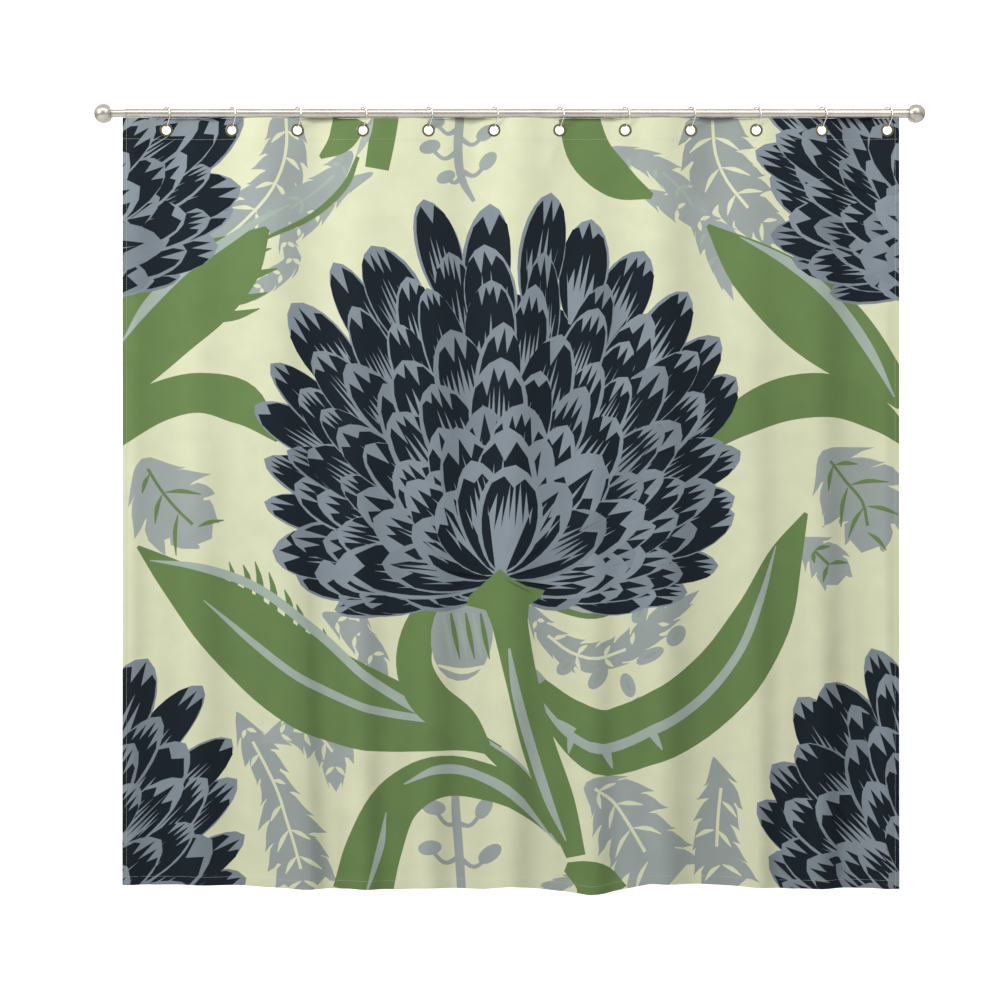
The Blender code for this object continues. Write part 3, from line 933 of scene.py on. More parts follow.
def flower_heads(seed):
    """The head in the middle and the four that the cloth's edges cut, one pattern repeat away."""
    across, up, down = HEAD_REPEAT
    shapes = []
    steps = ((-across, up), (across, up), (-across, down), (across, down), (0, 0))
    for i, (dx, dy) in enumerate(steps):
        shapes += flower_head((HEAD_FOOT[0] + dx, HEAD_FOOT[1] + dy), seed + i)
    return shapes


# --------------------------------------------------------------------- how the cloth hangs


def folds_phase(x, bright):
    """A phase that turns once for each soft fold, with the folds at the given places."""
    return np.interp(x, bright, math.tau * np.arange(len(bright)))


# Where the soft folds come nearest to the viewer, from the left edge, high up and low down.
FOLDS_HIGH = (
    -1.044, -0.886, -0.728, -0.561, -0.371, -0.162, 0.015, 0.191, 0.349, 0.553, 0.721, 0.888, 1.046,
)
FOLDS_LOW = (
    -1.091, -0.914, -0.719, -0.468, -0.338, -0.190, -0.004, 0.191, 0.358, 0.572, 0.721, 0.883,
    1.050,
)
# How far the bottom hem hangs below its mean line, in places across the cloth.
HEM_WAVES = (
    (-0.896, -0.0070), (-0.626, -0.0046), (-0.478, 0.0035), (-0.255, 0.0046), (-0.185, 0.0),
    (-0.060, 0.0046), (0.001, -0.0035), (0.080, 0.0046), (0.186, 0.0163), (0.219, 0.0139),
    (0.330, -0.0093), (0.442, -0.0070), (0.553, -0.0023), (0.651, 0.0023), (0.888, 0.0023),
)


def hung(x, down, settings):
    """The middle of the cloth (depth, height) at places across and down from its top edge."""
    share = np.clip(down / CLOTH_DROP, 0, 1)
    wave = PLEAT[0].y * np.sin(np.pi * (x - HOOK_X[0]) / HOOK_PITCH)
    wave *= 1 - 0.5 * smooth_step(0.05, 0.6, share)
    phase = folds_phase(x, FOLDS_HIGH) * (1 - share) + folds_phase(x, FOLDS_LOW) * share
    size = settings.fold_depth * (0.42 + 0.58 * share)
    nearest = np.min(np.abs(np.subtract.outer(x, HOOK_X)), axis=-1)
    eased = np.clip(np.maximum(nearest / (0.35 * HOOK_PITCH), (down - 0.045) / 0.10), 0, 1)
    ends = np.clip(np.minimum(x - CLOTH_LEFT, CLOTH_RIGHT - x) / 0.035, 0.35, 1)
    size = size * smooth_step(0.03, 1.0, eased) * ends
    depth = wave - size * (np.cos(phase) + 0.35 * np.sin(2.0 * phase + 1.1) * share)
    depth -= settings.fold_depth * 0.30 * np.sin(17.0 * x + 4.0 * share) * share
    hem = np.interp(x, *zip(*HEM_WAVES))
    height = CLOTH_TOP - down - hem * smooth_step(0.25, 1.0, share) ** 2
    # Behind the rod the folded edge tucks up beside it, as far as the rod leaves room.
    room = np.sqrt(np.maximum((ROD_RADIUS + settings.rod_gap) ** 2 - np.maximum(depth, 0) ** 2, 0))
    rise = np.clip(-room - CLOTH_TOP, 0, settings.header_rise)
    height += rise * (1 - smooth_step(0.0, 0.012, down))
    return depth, height


def smooth_step(low, high, value):
    t = np.clip((np.asarray(value, float) - low) / (high - low), 0, 1)
    return t * t * (3 - 2 * t)


EYELET_CUT = 0.0106  # radius of the hole that is cut in the cloth
HEM_STEP = 1.4 * MM  # over which the cloth goes from one layer to two
HEM_EXTRA = 0.9  # what the turned-in layer adds, pressed a little
# The grid that lets the cloth bend: its closer rows at the top, its other rows, its columns.
TOP_ZONE, TOP_ROW, ROW, COLUMN = 0.09, 0.006, 0.022, 0.0085


def thickness(x, down, settings):
    """One layer in the middle, and two where the hems are turned over."""
    steps = (
        smooth_step(-HEM_STEP, 0, settings.header_hem - down),
        smooth_step(-HEM_STEP, 0, down - (CLOTH_DROP - settings.bottom_hem)),
        smooth_step(-HEM_STEP, 0, settings.side_hem - (x - CLOTH_LEFT)),
        smooth_step(-HEM_STEP, 0, settings.side_hem - (CLOTH_RIGHT - x)),
    )
    return settings.cloth_thickness * (1 + np.maximum.reduce(steps) * HEM_EXTRA)


def cloth_face(x, down, side, settings):
    """Points on the front (side -1) or back (side 1) of the cloth, and their normals."""

    def surface(across, below):
        depth, height = hung(across, below, settings)
        return np.stack([across, depth + side * thickness(across, below, settings) / 2, height], -1)

    h = 0.4 * MM
    along = surface(x + h, down) - surface(x - h, down)
    fall = surface(x, down + h) - surface(x, down - h)
    normal = np.cross(along, fall)
    normal *= np.sign(normal[:, 1:2]) * side
    return surface(x, down), normal / np.linalg.norm(normal, axis=1)[:, None]


# ------------------------------------------------------------------------- cutting the cloth


def inside_shape(points, outline):
    """Which points lie inside an outline, by the number of turns that it makes round them."""
    ax, ay = outline[:, 0], outline[:, 1]
    bx, by = np.roll(ax, -1), np.roll(ay, -1)
    px, py = points[:, :1], points[:, 1:]
    left = (bx - ax) * (py - ay) - (px - ax) * (by - ay)
    above = ay <= py
    cross = (by <= py) != above
    turns = (cross & above & (left > 0)).sum(1) - (cross & ~above & (left < 0)).sum(1)
    return turns != 0


def outlines_on_show(shapes):
    """The edges of every shape that no later shape covers, as rows of x0, y0, x1, y1."""
    low = np.array([outline.min(0) for _, _, outline in shapes])
    high = np.array([outline.max(0) for _, _, outline in shapes])
    kept = []
    for i, (_, _, outline) in enumerate(shapes):
        start, end = outline, np.roll(outline, -1, 0)
        shown = np.ones(len(outline), bool)
        meets = np.all((low[i + 1 :] < high[i]) & (high[i + 1 :] > low[i]), axis=1)
        for j in np.nonzero(meets)[0] + i + 1:
            points = np.vstack([start[shown], end[shown], (start + end)[shown] / 2])
            covered = inside_shape(points, shapes[j][2]).reshape(3, -1).all(0)
            shown[shown] = ~covered
            if not shown.any():
                break
        kept.append(np.hstack([start, end])[shown])
    return np.vstack(kept)


def clipped(edges, low, high):
    """The parts of the edges that lie inside a rectangle."""
    start, step = edges[:, :2], edges[:, 2:] - edges[:, :2]
    enter, leave = np.zeros(len(edges)), np.ones(len(edges))
    miss = np.zeros(len(edges), bool)
    for k in (0, 1):
        with np.errstate(divide="ignore", invalid="ignore"):
            near, far = (low[k] - start[:, k]) / step[:, k], (high[k] - start[:, k]) / step[:, k]
        still = step[:, k] == 0
        miss |= still & ((start[:, k] < low[k]) | (start[:, k] > high[k]))
        near, far = np.where(still, 0, near), np.where(still, 1, far)
        enter = np.maximum(enter, np.minimum(near, far))
        leave = np.minimum(leave, np.maximum(near, far))
    keep = ~miss & (leave - enter > 1e-9)
    enter, leave = enter[keep, None], leave[keep, None]
    first, last = start[keep] + step[keep] * enter, start[keep] + step[keep] * leave
    return np.hstack([first, last])


def hem_places(settings):
    """Where the flat cloth is divided for its hems: down from its top edge, and across."""
    downs = [settings.header_hem, settings.header_hem + HEM_STEP]
    downs += [CLOTH_DROP - settings.bottom_hem - HEM_STEP, CLOTH_DROP - settings.bottom_hem]
    acrosses = []
    for edge, way in ((CLOTH_LEFT, 1), (CLOTH_RIGHT, -1)):
        acrosses += [edge + way * far for far in (settings.side_hem, settings.side_hem + HEM_STEP)]
    return downs, acrosses


def eyelet_ring(x, radius, sides=40):
    angles = np.arange(sides) * math.tau / sides
    return np.stack([x + radius * np.cos(angles), EYELET_DOWN + radius * np.sin(angles)], 1)


def cut_strip(left, right, edges, settings):
    """The flat strip's points and triangles, divided along everything printed on it."""
    downs, acrosses = hem_places(settings)
    upper, lower = np.arange(0, TOP_ZONE, TOP_ROW), np.arange(TOP_ZONE, CLOTH_DROP, ROW)
    rows = np.concatenate([upper, lower, [CLOTH_DROP], downs])
    columns = np.linspace(left, right, max(2, round((right - left) / COLUMN)) + 1)
    acrosses = [across for across in acrosses if left < across < right]
    columns = np.concatenate([columns, acrosses])
    grid = np.stack(np.meshgrid(columns, rows), -1).reshape(-1, 2)
    border = [(left, down, right, down) for down in (0, CLOTH_DROP, *downs)]
    border += [(across, 0, across, CLOTH_DROP) for across in (left, right, *acrosses)]
    rings = [
        (eyelet_ring(x, EYELET_CUT), eyelet_ring(x, EYELET_CUT * 1.3))
        for x in HOOK_X
        if left - 0.02 < x < right + 0.02
    ]
    for hole, _ in rings:
        grid = grid[np.linalg.norm(grid - hole.mean(0), axis=1) > EYELET_CUT * 1.15]
    parts = [np.array(border), edges]
    parts += [np.hstack([ring, np.roll(ring, -1, 0)]) for pair in rings for ring in pair]
    lines = clipped(np.vstack(parts), (left, 0), (right, CLOTH_DROP))
    ends = np.vstack([lines[:, :2], lines[:, 2:], grid])
    snapped, index = np.unique(np.round(ends / 2e-6).astype(int), axis=0, return_inverse=True)
    index = index.reshape(-1)
    points = np.zeros((len(snapped), 2))
    points[index] = ends
    pairs = np.stack([index[: len(lines)], index[len(lines) : 2 * len(lines)]], 1)
    pairs = np.unique(np.sort(pairs[pairs[:, 0] != pairs[:, 1]], axis=1), axis=0)
    flat, _, triangles, _, _, _ = delaunay_2d_cdt(
        [Vector(p) for p in points.tolist()], pairs.tolist(), [], 0, 1e-6, False
    )
    flat = np.array([tuple(p) for p in flat])
    triangles = np.array([t for t in triangles if len(t) == 3])
    middles = flat[triangles].mean(1)
    keep = np.ones(len(triangles), bool)
    for hole, _ in rings:
        keep &= ~inside_shape(middles, hole)
    a, b, c = flat[triangles].transpose(1, 0, 2)
    size = np.cross(b - a, c - a)
    keep &= np.abs(size) > 1e-12
    triangles, size, middles = triangles[keep], size[keep], middles[keep]
    triangles[size < 0] = triangles[size < 0][:, ::-1]
    used, renumbered = np.unique(triangles, return_inverse=True)
    return flat[used], renumbered.reshape(triangles.shape), middles


def inks_of(middles, shapes, palette):
    """The ink on each triangle: that of the last shape printed over it."""
    inks = np.tile(palette["cream"], (len(middles), 1))
    for ink, tone, outline in shapes:
        low, high = outline.min(0), outline.max(0)
        near = np.nonzero(np.all((middles > low) & (middles < high), axis=1))[0]
        if len(near):
            hit = near[inside_shape(middles[near], outline)]
            inks[hit] = palette[ink] * tone
    return inks


def cloth_strip(name, left, right, edges, shapes, palette, settings, material):
    """One strip of the hung cloth as a closed mesh: front, back and the edges between them."""
    flat, triangles, middles = cut_strip(left, right, edges, settings)
    inks = inks_of(middles, shapes, palette)
    front, front_normals = cloth_face(flat[:, 0], flat[:, 1], -1, settings)
    back, back_normals = cloth_face(flat[:, 0], flat[:, 1], 1, settings)
    count = len(flat)
    sides = np.vstack([triangles[:, [0, 1]], triangles[:, [1, 2]], triangles[:, [2, 0]]])
    owners = np.tile(np.arange(len(triangles)), 3)
    keys = np.sort(sides, axis=1)
    _, first, uses = np.unique(keys, axis=0, return_index=True, return_counts=True)
    rim = first[uses == 1]
    a, b = sides[rim, 0], sides[rim, 1]
    walls = np.vstack([np.stack([a, b, b + count], 1), np.stack([a, b + count, a + count], 1)])
    faces = np.vstack([triangles[:, ::-1], triangles + count, walls])

    mesh = bpy.data.meshes.new(name)
    mesh.vertices.add(2 * count)
    mesh.vertices.foreach_set("co", np.vstack([front, back]).ravel())
    mesh.loops.add(3 * len(faces))
    mesh.loops.foreach_set("vertex_index", faces.ravel())
    mesh.polygons.add(len(faces))
    mesh.polygons.foreach_set("loop_start", np.arange(0, 3 * len(faces), 3))
    mesh.update(calc_edges=True)

    corner = faces.ravel()
    co = np.vstack([front, back])
    flat_normal = np.cross(co[faces[:, 1]] - co[faces[:, 0]], co[faces[:, 2]] - co[faces[:, 0]])
    flat_normal /= np.maximum(np.linalg.norm(flat_normal, axis=1), 1e-12)[:, None]
    normals = np.vstack([front_normals, back_normals])[corner]
    wall_corners = 3 * 2 * len(triangles)
    normals[wall_corners:] = np.repeat(flat_normal[2 * len(triangles) :], 3, axis=0)
    mesh.normals_split_custom_set(normals.tolist())

    pale = np.array(palette["cream"])
    behind = inks * (1 - settings.show_through) + (pale * 0.97) * settings.show_through
    edge_inks = np.tile(inks[owners[rim]], (2, 1))
    face_inks = np.vstack([inks, behind, edge_inks])
    colours = np.ones((len(corner), 4))
    colours[:, :3] = np.repeat(face_inks, 3, axis=0)
    ink = mesh.color_attributes.new("print_ink", "FLOAT_COLOR", "CORNER")
    ink.data.foreach_set("color", colours.ravel())
    layer = mesh.uv_layers.new(name="flat_cloth")
    places = np.vstack([flat, flat])[corner]
    places[:, 1] = CLOTH_DROP - places[:, 1]
    places[:, 0] -= CLOTH_LEFT
    layer.uv.foreach_set("vector", places.ravel())
    return new_piece(name, mesh, material)


def strip_edges():
    """The left and right of each strip, from eyelet to eyelet."""
    cuts = [CLOTH_LEFT, *HOOK_X, CLOTH_RIGHT]
    return list(zip(cuts, cuts[1:]))


def hang(piece, number):
    """A strip, or the stitches on it: at either end it moves with the fold of the nearest eyelet;
    any other keeps its place, baked into its mesh.
    """
    last = len(HOOK_X)
    if number in (0, last):
        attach(piece, f"fold_{LABELS[min(number, last - 1)]}")
        return
    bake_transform(piece)


SEAM_INSET = 2.5 * MM  # from a hem's turned-in edge to its stitches


def stitch_lines(number, settings):
    """Where the hem seams run on a strip, as lines of points on both faces of the cloth."""
    left, right = strip_edges()[number]
    seams = []
    for down in (settings.header_hem - SEAM_INSET, CLOTH_DROP - settings.bottom_hem + SEAM_INSET):
        x = np.linspace(left + 1.5 * MM, right - 1.5 * MM, 60)
        seams.append((x, np.full_like(x, down)))
    sides = ((CLOTH_LEFT, 1, number == 0), (CLOTH_RIGHT, -1, number == len(HOOK_X)))
    for edge, way, there in sides:
        if there:
            down = np.linspace(4 * MM, CLOTH_DROP - 4 * MM, 240)
            seams.append((np.full_like(down, edge + way * (settings.side_hem - SEAM_INSET)), down))
    lines = []
    for x, down in seams:
        for side in (-1, 1):
            points, normals = cloth_face(x, down, side, settings)
            lines.append(points + normals * settings.thread_radius * 0.1)
    return lines


# ----------------------------------------------------------------------------- hardware


def reach_of(node):
    """The largest radius of a node that is turned about the rod's axis."""
    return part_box(node)[1].y


def along(node):
    low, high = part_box(node)
    return low.x, high.x


def tube_outline(start, end, radius, wall, edge=0.3 * MM):
    """A tube's section, with its cut edges broken."""
    return [
        (start + edge, radius),
        (end - edge, radius),
        (end, radius - edge),
        (end, radius - wall + edge),
        (end - edge, radius - wall),
        (start + edge, radius - wall),
        (start, radius - wall + edge),
        (start, radius - edge),
    ]


def finial_outline(node, tube_radius, settings):
    """A ball with a turned neck, from the tube's end face to the ball's far pole."""
    ends = along(node)
    side = 1 if ends[0] > 0 else -1
    near, far = ends if side > 0 else ends[::-1]
    ball = reach_of(node)
    centre = far - side * ball
    neck = tube_radius + settings.neck_lip
    points = [(near, 0.0), (near, neck - 0.3 * MM), (near + side * 0.3 * MM, neck)]
    points.append((near + side * (settings.neck_length - 0.3 * MM), neck))
    groove = near + side * settings.neck_length
    points.append((groove, neck - 0.3 * MM))
    points.append((groove, neck - 1.1 * MM))
    inner = abs(centre - groove)
    start = math.degrees(math.atan2(math.sqrt(ball**2 - inner**2), -inner))
    sweep = arc_points((0, 0), ball, start - 5, 0, 40)
    points += [(centre + side * x, y) for x, y in sweep[:-1]] + [(far, 0.0)]
    return points


def cloth_turn(x, settings):
    """How far the cloth is turned about the vertical where an eyelet sits."""
    h = 2 * MM
    depth, _ = hung(np.array([x - h, x + h]), np.full(2, EYELET_DOWN), settings)
    return math.atan2(depth[1] - depth[0], 2 * h)


def eyelet_half(name, node, side, x, metal, cloth):
    """One half of an eyelet: a rolled flange on the cloth and a barrel into its hole."""
    low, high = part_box(node)
    outer, hole = (high.z - low.z) / 2 + metal.eyelet_spread, metal.eyelet_hole
    seat = cloth.cloth_thickness * (1 + HEM_EXTRA) / 2 + 0.03 * MM
    steps = 16
    outline = []
    for i in range(steps + 1):
        a = math.pi * i / steps
        rise = seat + metal.eyelet_bead * math.sin(a) ** 0.75
        outline.append((rise, hole + (outer - hole) * (1 - math.cos(a)) / 2))
    wall = 0.5 * MM
    outline += [(seat, hole + wall + 0.1 * MM), (0.05 * MM, hole + wall), (0.05 * MM, hole)]
    mesh = turned(name, outline, metal.eyelet_sides, math.radians(55))
    facing = Matrix(((0, 1, 0, 0), (side, 0, 0, 0), (0, 0, 1, 0), (0, 0, 0, 1)))
    mesh.transform(Matrix.Rotation(cloth_turn(x, cloth), 4, "Z") @ facing)
    depth, _ = hung(np.array([x]), np.array([EYELET_DOWN]), cloth)
    mesh.transform(Matrix.Translation((x, float(depth[0]), EYELET_Z)))
    return outward(mesh)


def outward(mesh):
    """Turns the faces outwards, as after a mirror."""
    bm = bmesh.new()
    bm.from_mesh(mesh)
    bmesh.ops.recalc_face_normals(bm, faces=bm.faces)
    bm.to_mesh(mesh)
    bm.free()
    return mesh


def hook_arc(settings, start, end, steps):
    """Points on the arc over the rod, at angles from straight up towards the back."""
    top = settings.hook_arc_height
    angles = [math.radians(start + (end - start) * i / steps) for i in range(steps + 1)]
    ways = [Vector((0, math.sin(angle), math.cos(angle))) for angle in angles]
    return [way * settings.hook_arc_radius + Vector((0, 0, top)) for way in ways]


def hook_route(settings):
    """The wire in its own plane: from behind, over the rod, down in front, through the
    eyelet and up behind the cloth, ending below where it starts."""
    top, tip = settings.hook_arc_height, settings.hook_tip_radius
    low = HOOK_BOTTOM + settings.wire_radius + tip
    lean = math.acos((settings.hook_arc_radius - tip) / (top - low))
    leave = 180 - math.degrees(lean)
    upper = hook_arc(settings, leave, -leave, 40)
    lower = []
    for i in range(21):
        a = lean - 2 * lean * i / 20
        lower.append(Vector((0, -math.sin(a) * tip, low - math.cos(a) * tip)))
    rise = upper[0] - lower[-1]
    way = rise.normalized()
    upper_end = lower[-1] + way * (rise.length + settings.hook_mouth) / 2
    lower_end = lower[-1] + way * (rise.length - settings.hook_mouth) / 2
    return [upper_end, *upper, *lower, lower_end]


# ------------------------------------------------------------------------------ settings


class HardwareSettings(bpy.types.PropertyGroup):
    nickel: colour("Nickel", "#D2CDC5", "Brushed nickel on the rod and the finials")
    nickel_shade: colour("Nickel in shade", "#A69F95", "The darker patches of the brushed nickel")
    wire: colour("Wire", "#DAD8D3", "Nickel plating on the hooks")
    brass: colour("Brass", "#5F5A42", "Darkened brass of the eyelets")
    brass_rubbed: colour("Rubbed brass", "#B5AE84", "Brass where the dark finish has worn off")
    nylon: colour("Nylon", "#E4E3DE", "Plugs inside the tubes")
    tube_wall: length("Tube wall", 1.1 * MM, "Thickness of the outer tube's wall")
    neck_lip: length("Neck lip", 0.6 * MM, "How far the finial's neck stands out over the tube")
    neck_length: length("Neck length", 2.2 * MM, "Length of the finial's neck ring")
    hook_arc_radius: length("Hook arc radius", 18.5 * MM, "Bend of the wire over the rod")
    hook_arc_height: FloatProperty(
        name="Hook arc height",
        description="Height of the bend's centre over the rod's axis",
        default=-3.32 * MM,
        unit="LENGTH",
    )
    hook_tip_radius: length("Hook tip radius", 8 * MM, "Bend of the wire through the eyelet")
    hook_mouth: length("Hook mouth", 4 * MM, "Gap between the wire's two ends")
    hook_yaw: FloatProperty(
        name="Hook yaw",
        description="How far each hook is turned about the vertical",
        default=math.radians(34),
        subtype="ANGLE",
        unit="ROTATION",
    )
    wire_radius: length("Wire radius", 1.3 * MM, "Radius of the hook's wire")
    roller_radius: length("Roller radius", 3.2 * MM, "Radius of the balls that roll on the rod")
    roller_spacing: length(
        "Roller spacing", 9.5 * MM, "Distance between the balls along the wire", 1 * MM
    )
    eyelet_hole: length("Eyelet hole", 10 * MM, "Radius of the eyelet's hole")
    eyelet_bead: length("Eyelet bead", 1.1 * MM, "How far the eyelet's rolled flange stands out")
    eyelet_spread: length(
        "Eyelet spread", 0.6 * MM, "How far the clinched flange spreads past its blank"
    )
    eyelet_sides: IntProperty(
        name="Eyelet sides", description="Sides of a turned eyelet", default=48, min=12
    )
    tube_sides: IntProperty(
        name="Tube sides", description="Sides of the tubes and balls", default=96, min=12
    )


class ClothSettings(bpy.types.PropertyGroup):
    cream: colour("Cream", "#E0E3C0", "Ground colour of the print")
    green: colour("Green", "#6B8650", "Leaves and stems of the print")
    sage: colour("Grey", "#A0A9A6", "Pale secondary leaves of the print")
    navy: colour("Navy", "#0D1922", "Bodies of the petals")
    steel_blue: colour("Blue grey", "#87929B", "Rims and strokes of the petals")
    vein: colour("Vein", "#A9B7AD", "Veins of the leaves")
    thread: colour("Thread", "#E3E4C8", "Sewing thread of the hems")
    show_through: number(
        "Show through",
        0.5,
        "How much paler the print is on the back",
        min=0,
        max=1,
        subtype="FACTOR",
    )
    cloth_thickness: length("Cloth thickness", 0.5 * MM, "Thickness of one layer of the cloth")
    fold_depth: length("Fold depth", 9 * MM, "Depth of the soft folds at the bottom hem")
    rod_gap: length("Gap under the rod", 0.5 * MM, "Room between the rod and the cloth's top edge")
    header_rise: length("Header rise", 3.4 * MM, "How far the folded edge may stand up by the rod")
    header_hem: length("Header hem", 50 * MM, "Height of the doubled header")
    bottom_hem: length("Bottom hem", 22 * MM, "Height of the doubled bottom hem")
    side_hem: length("Side hem", 12 * MM, "Width of the doubled side hems")
    stitch_spacing: length("Stitch spacing", 4.2 * MM, "Distance between two stitches", 1 * MM)
    thread_radius: length("Thread radius", 0.3 * MM, "Half the thickness of a stitch")
    stitch_stretch: number("Stitch length", 5.4, "Length of a stitch over its thickness", min=1)
    pattern_seed: IntProperty(
        name="Pattern seed", description="Seed of the print's uneven edges", default=11
    )


class StageSettings(bpy.types.PropertyGroup):
    backdrop: colour("Backdrop", "#FFFFFF", "Wall behind the curtain")
    floor: colour("Floor", "#DADAD7", "Floor under the curtain")
    lens: number("Lens", 85, "Focal length of the camera", min=10, unit="CAMERA")
    view_width: length("View width", 2.322, "Width that the camera sees at the curtain")
    floor_height: number(
        "Floor height", -2.30, "Height of the floor in the rod's frame", unit="LENGTH"
    )
    key_power: number("Key power", 156, "Power of the main light", unit="POWER")
    top_power: number("Top power", 60, "Power of the strip light over the rod", unit="POWER")
    fill_power: number("Fill power", 24, "Power of the fill light", unit="POWER")
    back_power: number("Back power", 45, "Power of the light behind", unit="POWER")


# ----------------------------------------------------------------------------- operators


def settings_of(context):
    scene = context.scene
    return scene.curtain_hardware, scene.curtain_cloth, scene.curtain_stage


class CURTAIN_OT_rod(bpy.types.Operator):
    """Two telescoping tubes and the collar between them"""

    bl_idname = "curtain.rod"
    bl_label = "Rod"

    def execute(self, context):
        metal, _, _ = settings_of(context)
        steel = finish(brushed_nickel, metal)
        wall = metal.tube_wall
        collar = reach_of("rod_collar") - reach_of("rod_inner_tube") - 0.35 * MM
        jobs = (
            ("rod_outer_tube", "rod", wall),
            ("rod_inner_tube", "inner_tube", wall * 0.9),
            ("rod_collar", "rod", collar),
        )
        for node, body, thick in jobs:
            name = f"{node}_turned"
            outline = tube_outline(*along(node), reach_of(node), thick)
            tube = new_piece(name, turned(name, outline, metal.tube_sides), steel)
            stand_in(tube, node, body)
        return {"FINISHED"}


class CURTAIN_OT_finials(bpy.types.Operator):
    """Turned ball finials, each with a neck ring"""

    bl_idname = "curtain.finials"
    bl_label = "Finials"

    def execute(self, context):
        metal, _, _ = settings_of(context)
        steel = finish(brushed_nickel, metal)
        for where, tube in (("left", "rod_inner_tube"), ("right", "rod_outer_tube")):
            node = f"finial_{where}"
            outline = finial_outline(node, reach_of(tube), metal)
            name = f"finial_ball_{where}"
            mesh = outward(turned(name, outline, metal.tube_sides, math.radians(28)))
            stand_in(new_piece(name, mesh, steel), node, node)
        return {"FINISHED"}


class CURTAIN_OT_hidden_parts(bpy.types.Operator):
    """Finishes for the stems, inserts and glide plug inside the tubes"""

    bl_idname = "curtain.hidden_parts"
    bl_label = "Parts inside the tubes"

    def execute(self, context):
        metal, _, _ = settings_of(context)
        steel, nylon = finish(brushed_nickel, metal), finish(moulded_nylon, metal)
        finishes = {"rod_glide_plug": nylon}
        for where in ("left", "right"):
            finishes[f"finial_stem_{where}"] = steel
            finishes[f"finial_insert_{where}"] = nylon
        for node, material in finishes.items():
            part = frame["nodes"][node]
            for slot in part.material_slots:
                slot.material = material
        return {"FINISHED"}


class CURTAIN_OT_hooks(bpy.types.Operator):
    """Wire hooks over the rod, each with a row of balls that roll on it"""

    bl_idname = "curtain.hooks"
    bl_label = "Hooks"

    def execute(self, context):
        metal, _, _ = settings_of(context)
        plating = finish(plated_wire, metal)
        wire = swept_mesh("hook_wire", hook_route(metal), metal.wire_radius, 5)
        arc = polyline_mesh("roller_path", [hook_arc(metal, 60, -60, 24)])
        sizes = (metal.roller_spacing, metal.roller_radius, 1.0)
        tree = row_of_copies("hook_rollers", *sizes, 24, 14, plating)
        rollers = run_tree("rollers", arc, tree, {"Stretch": 1.0})
        for label, x in zip(LABELS, HOOK_X):
            turn = Matrix.Translation((x, 0, 0)) @ Matrix.Rotation(metal.hook_yaw, 4, "Z")
            for part, mesh in (("wire", wire), ("rollers", rollers)):
                name, node = f"hook_{part}_{label}", f"hook_{label}"
                hook = new_piece(name, placed(mesh, name, turn), plating)
                stand_in(hook, node, node)
        return {"FINISHED"}


class CURTAIN_OT_eyelets(bpy.types.Operator):
    """Pressed eyelets: a front half and a back half round each hole"""

    bl_idname = "curtain.eyelets"
    bl_label = "Eyelets"

    def execute(self, context):
        metal, cloth, _ = settings_of(context)
        brass = finish(aged_brass, metal)
        for label, x in zip(LABELS, HOOK_X):
            for part, side in (("front", -1), ("back", 1)):
                node, name = f"grommet_{part}_{label}", f"eyelet_{part}_{label}"
                half = new_piece(name, eyelet_half(name, node, side, x, metal, cloth), brass)
                stand_in(half, node, f"fold_{label}")
        return {"FINISHED"}


class CURTAIN_OT_stitches(bpy.types.Operator):
    """Lockstitch along the hems, on both faces of the cloth"""

    bl_idname = "curtain.stitches"
    bl_label = "Stitches"

    def execute(self, context):
        _, cloth, _ = settings_of(context)
        thread = finish(sewing_thread, cloth)
        sizes = (cloth.stitch_spacing, cloth.thread_radius, cloth.stitch_stretch)
        tree = row_of_copies("hem_stitches", *sizes, 6, 4, thread)
        for number in range(len(HOOK_X) + 1):
            name = f"hem_stitches_{number + 1:02d}"
            lines = polyline_mesh(f"{name}_path", stitch_lines(number, cloth))
            mesh = run_tree(name, lines, tree, {"Spacing": cloth.stitch_spacing})
            row = new_piece(name, mesh, thread)
            hang(row, number)
        return {"FINISHED"}


class CURTAIN_OT_cloth(bpy.types.Operator):
    """The printed cloth, in one strip from each eyelet to the next"""

    bl_idname = "curtain.cloth"
    bl_label = "Cloth"

    def execute(self, context):
        _, cloth, _ = settings_of(context)
        material = finish(woven_polyester, cloth)
        palette = {ink: np.array(getattr(cloth, ink)) for ink in INKS}
        printed = design(random.Random(cloth.pattern_seed)) + flower_heads(cloth.pattern_seed)
        shapes = [
            (ink, tone, outline * (CM, CM) + (CLOTH_LEFT, 0)) for ink, tone, outline in printed
        ]
        edges = outlines_on_show(shapes)
        for number, (left, right) in enumerate(strip_edges()):
            name = f"curtain_cloth_{number + 1:02d}"
            near = [s for s in shapes if s[2][:, 0].min() < right and s[2][:, 0].max() > left]
            strip = cloth_strip(name, left, right, edges, near, palette, cloth, material)
            hang(strip, number)
            if number < len(LABELS):
                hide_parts(f"curtain_fold_{LABELS[number]}")
            sewn = [f"hem_stitches_{number + 1:02d}"]
            if number < len(LABELS):
                sewn += [f"eyelet_{part}_{LABELS[number]}" for part in ("front", "back")]
        return {"FINISHED"}


def backdrop_paint(settings):
    """White paint that only shows from the front, so that the back of the curtain can be seen."""
    glow = {"Emission Color": (1, 1, 1, 1), "Emission Strength": 0.8}
    material, tree, shader = new_material("backdrop_paint", settings.backdrop, 0.0, 0.9, **glow)
    behind = add_node(tree, "ShaderNodeNewGeometry").outputs["Backfacing"]
    clear = add_node(tree, "ShaderNodeBsdfTransparent")
    either = add_node(
        tree, "ShaderNodeMixShader", {0: behind, 1: shader.outputs[0], 2: clear.outputs[0]}
    )
    tree.links.new(either.outputs[0], tree.nodes["Material Output"].inputs["Surface"])
    return material


def floor_paint(settings):
    """Pale matt paint with a little glow, which the plated metal mirrors as a lit studio floor."""
    glow = {"Emission Color": (1, 1, 1, 1), "Emission Strength": 0.40}
    return new_material("floor_paint", settings.floor, 0.0, 0.8, **glow)[0]


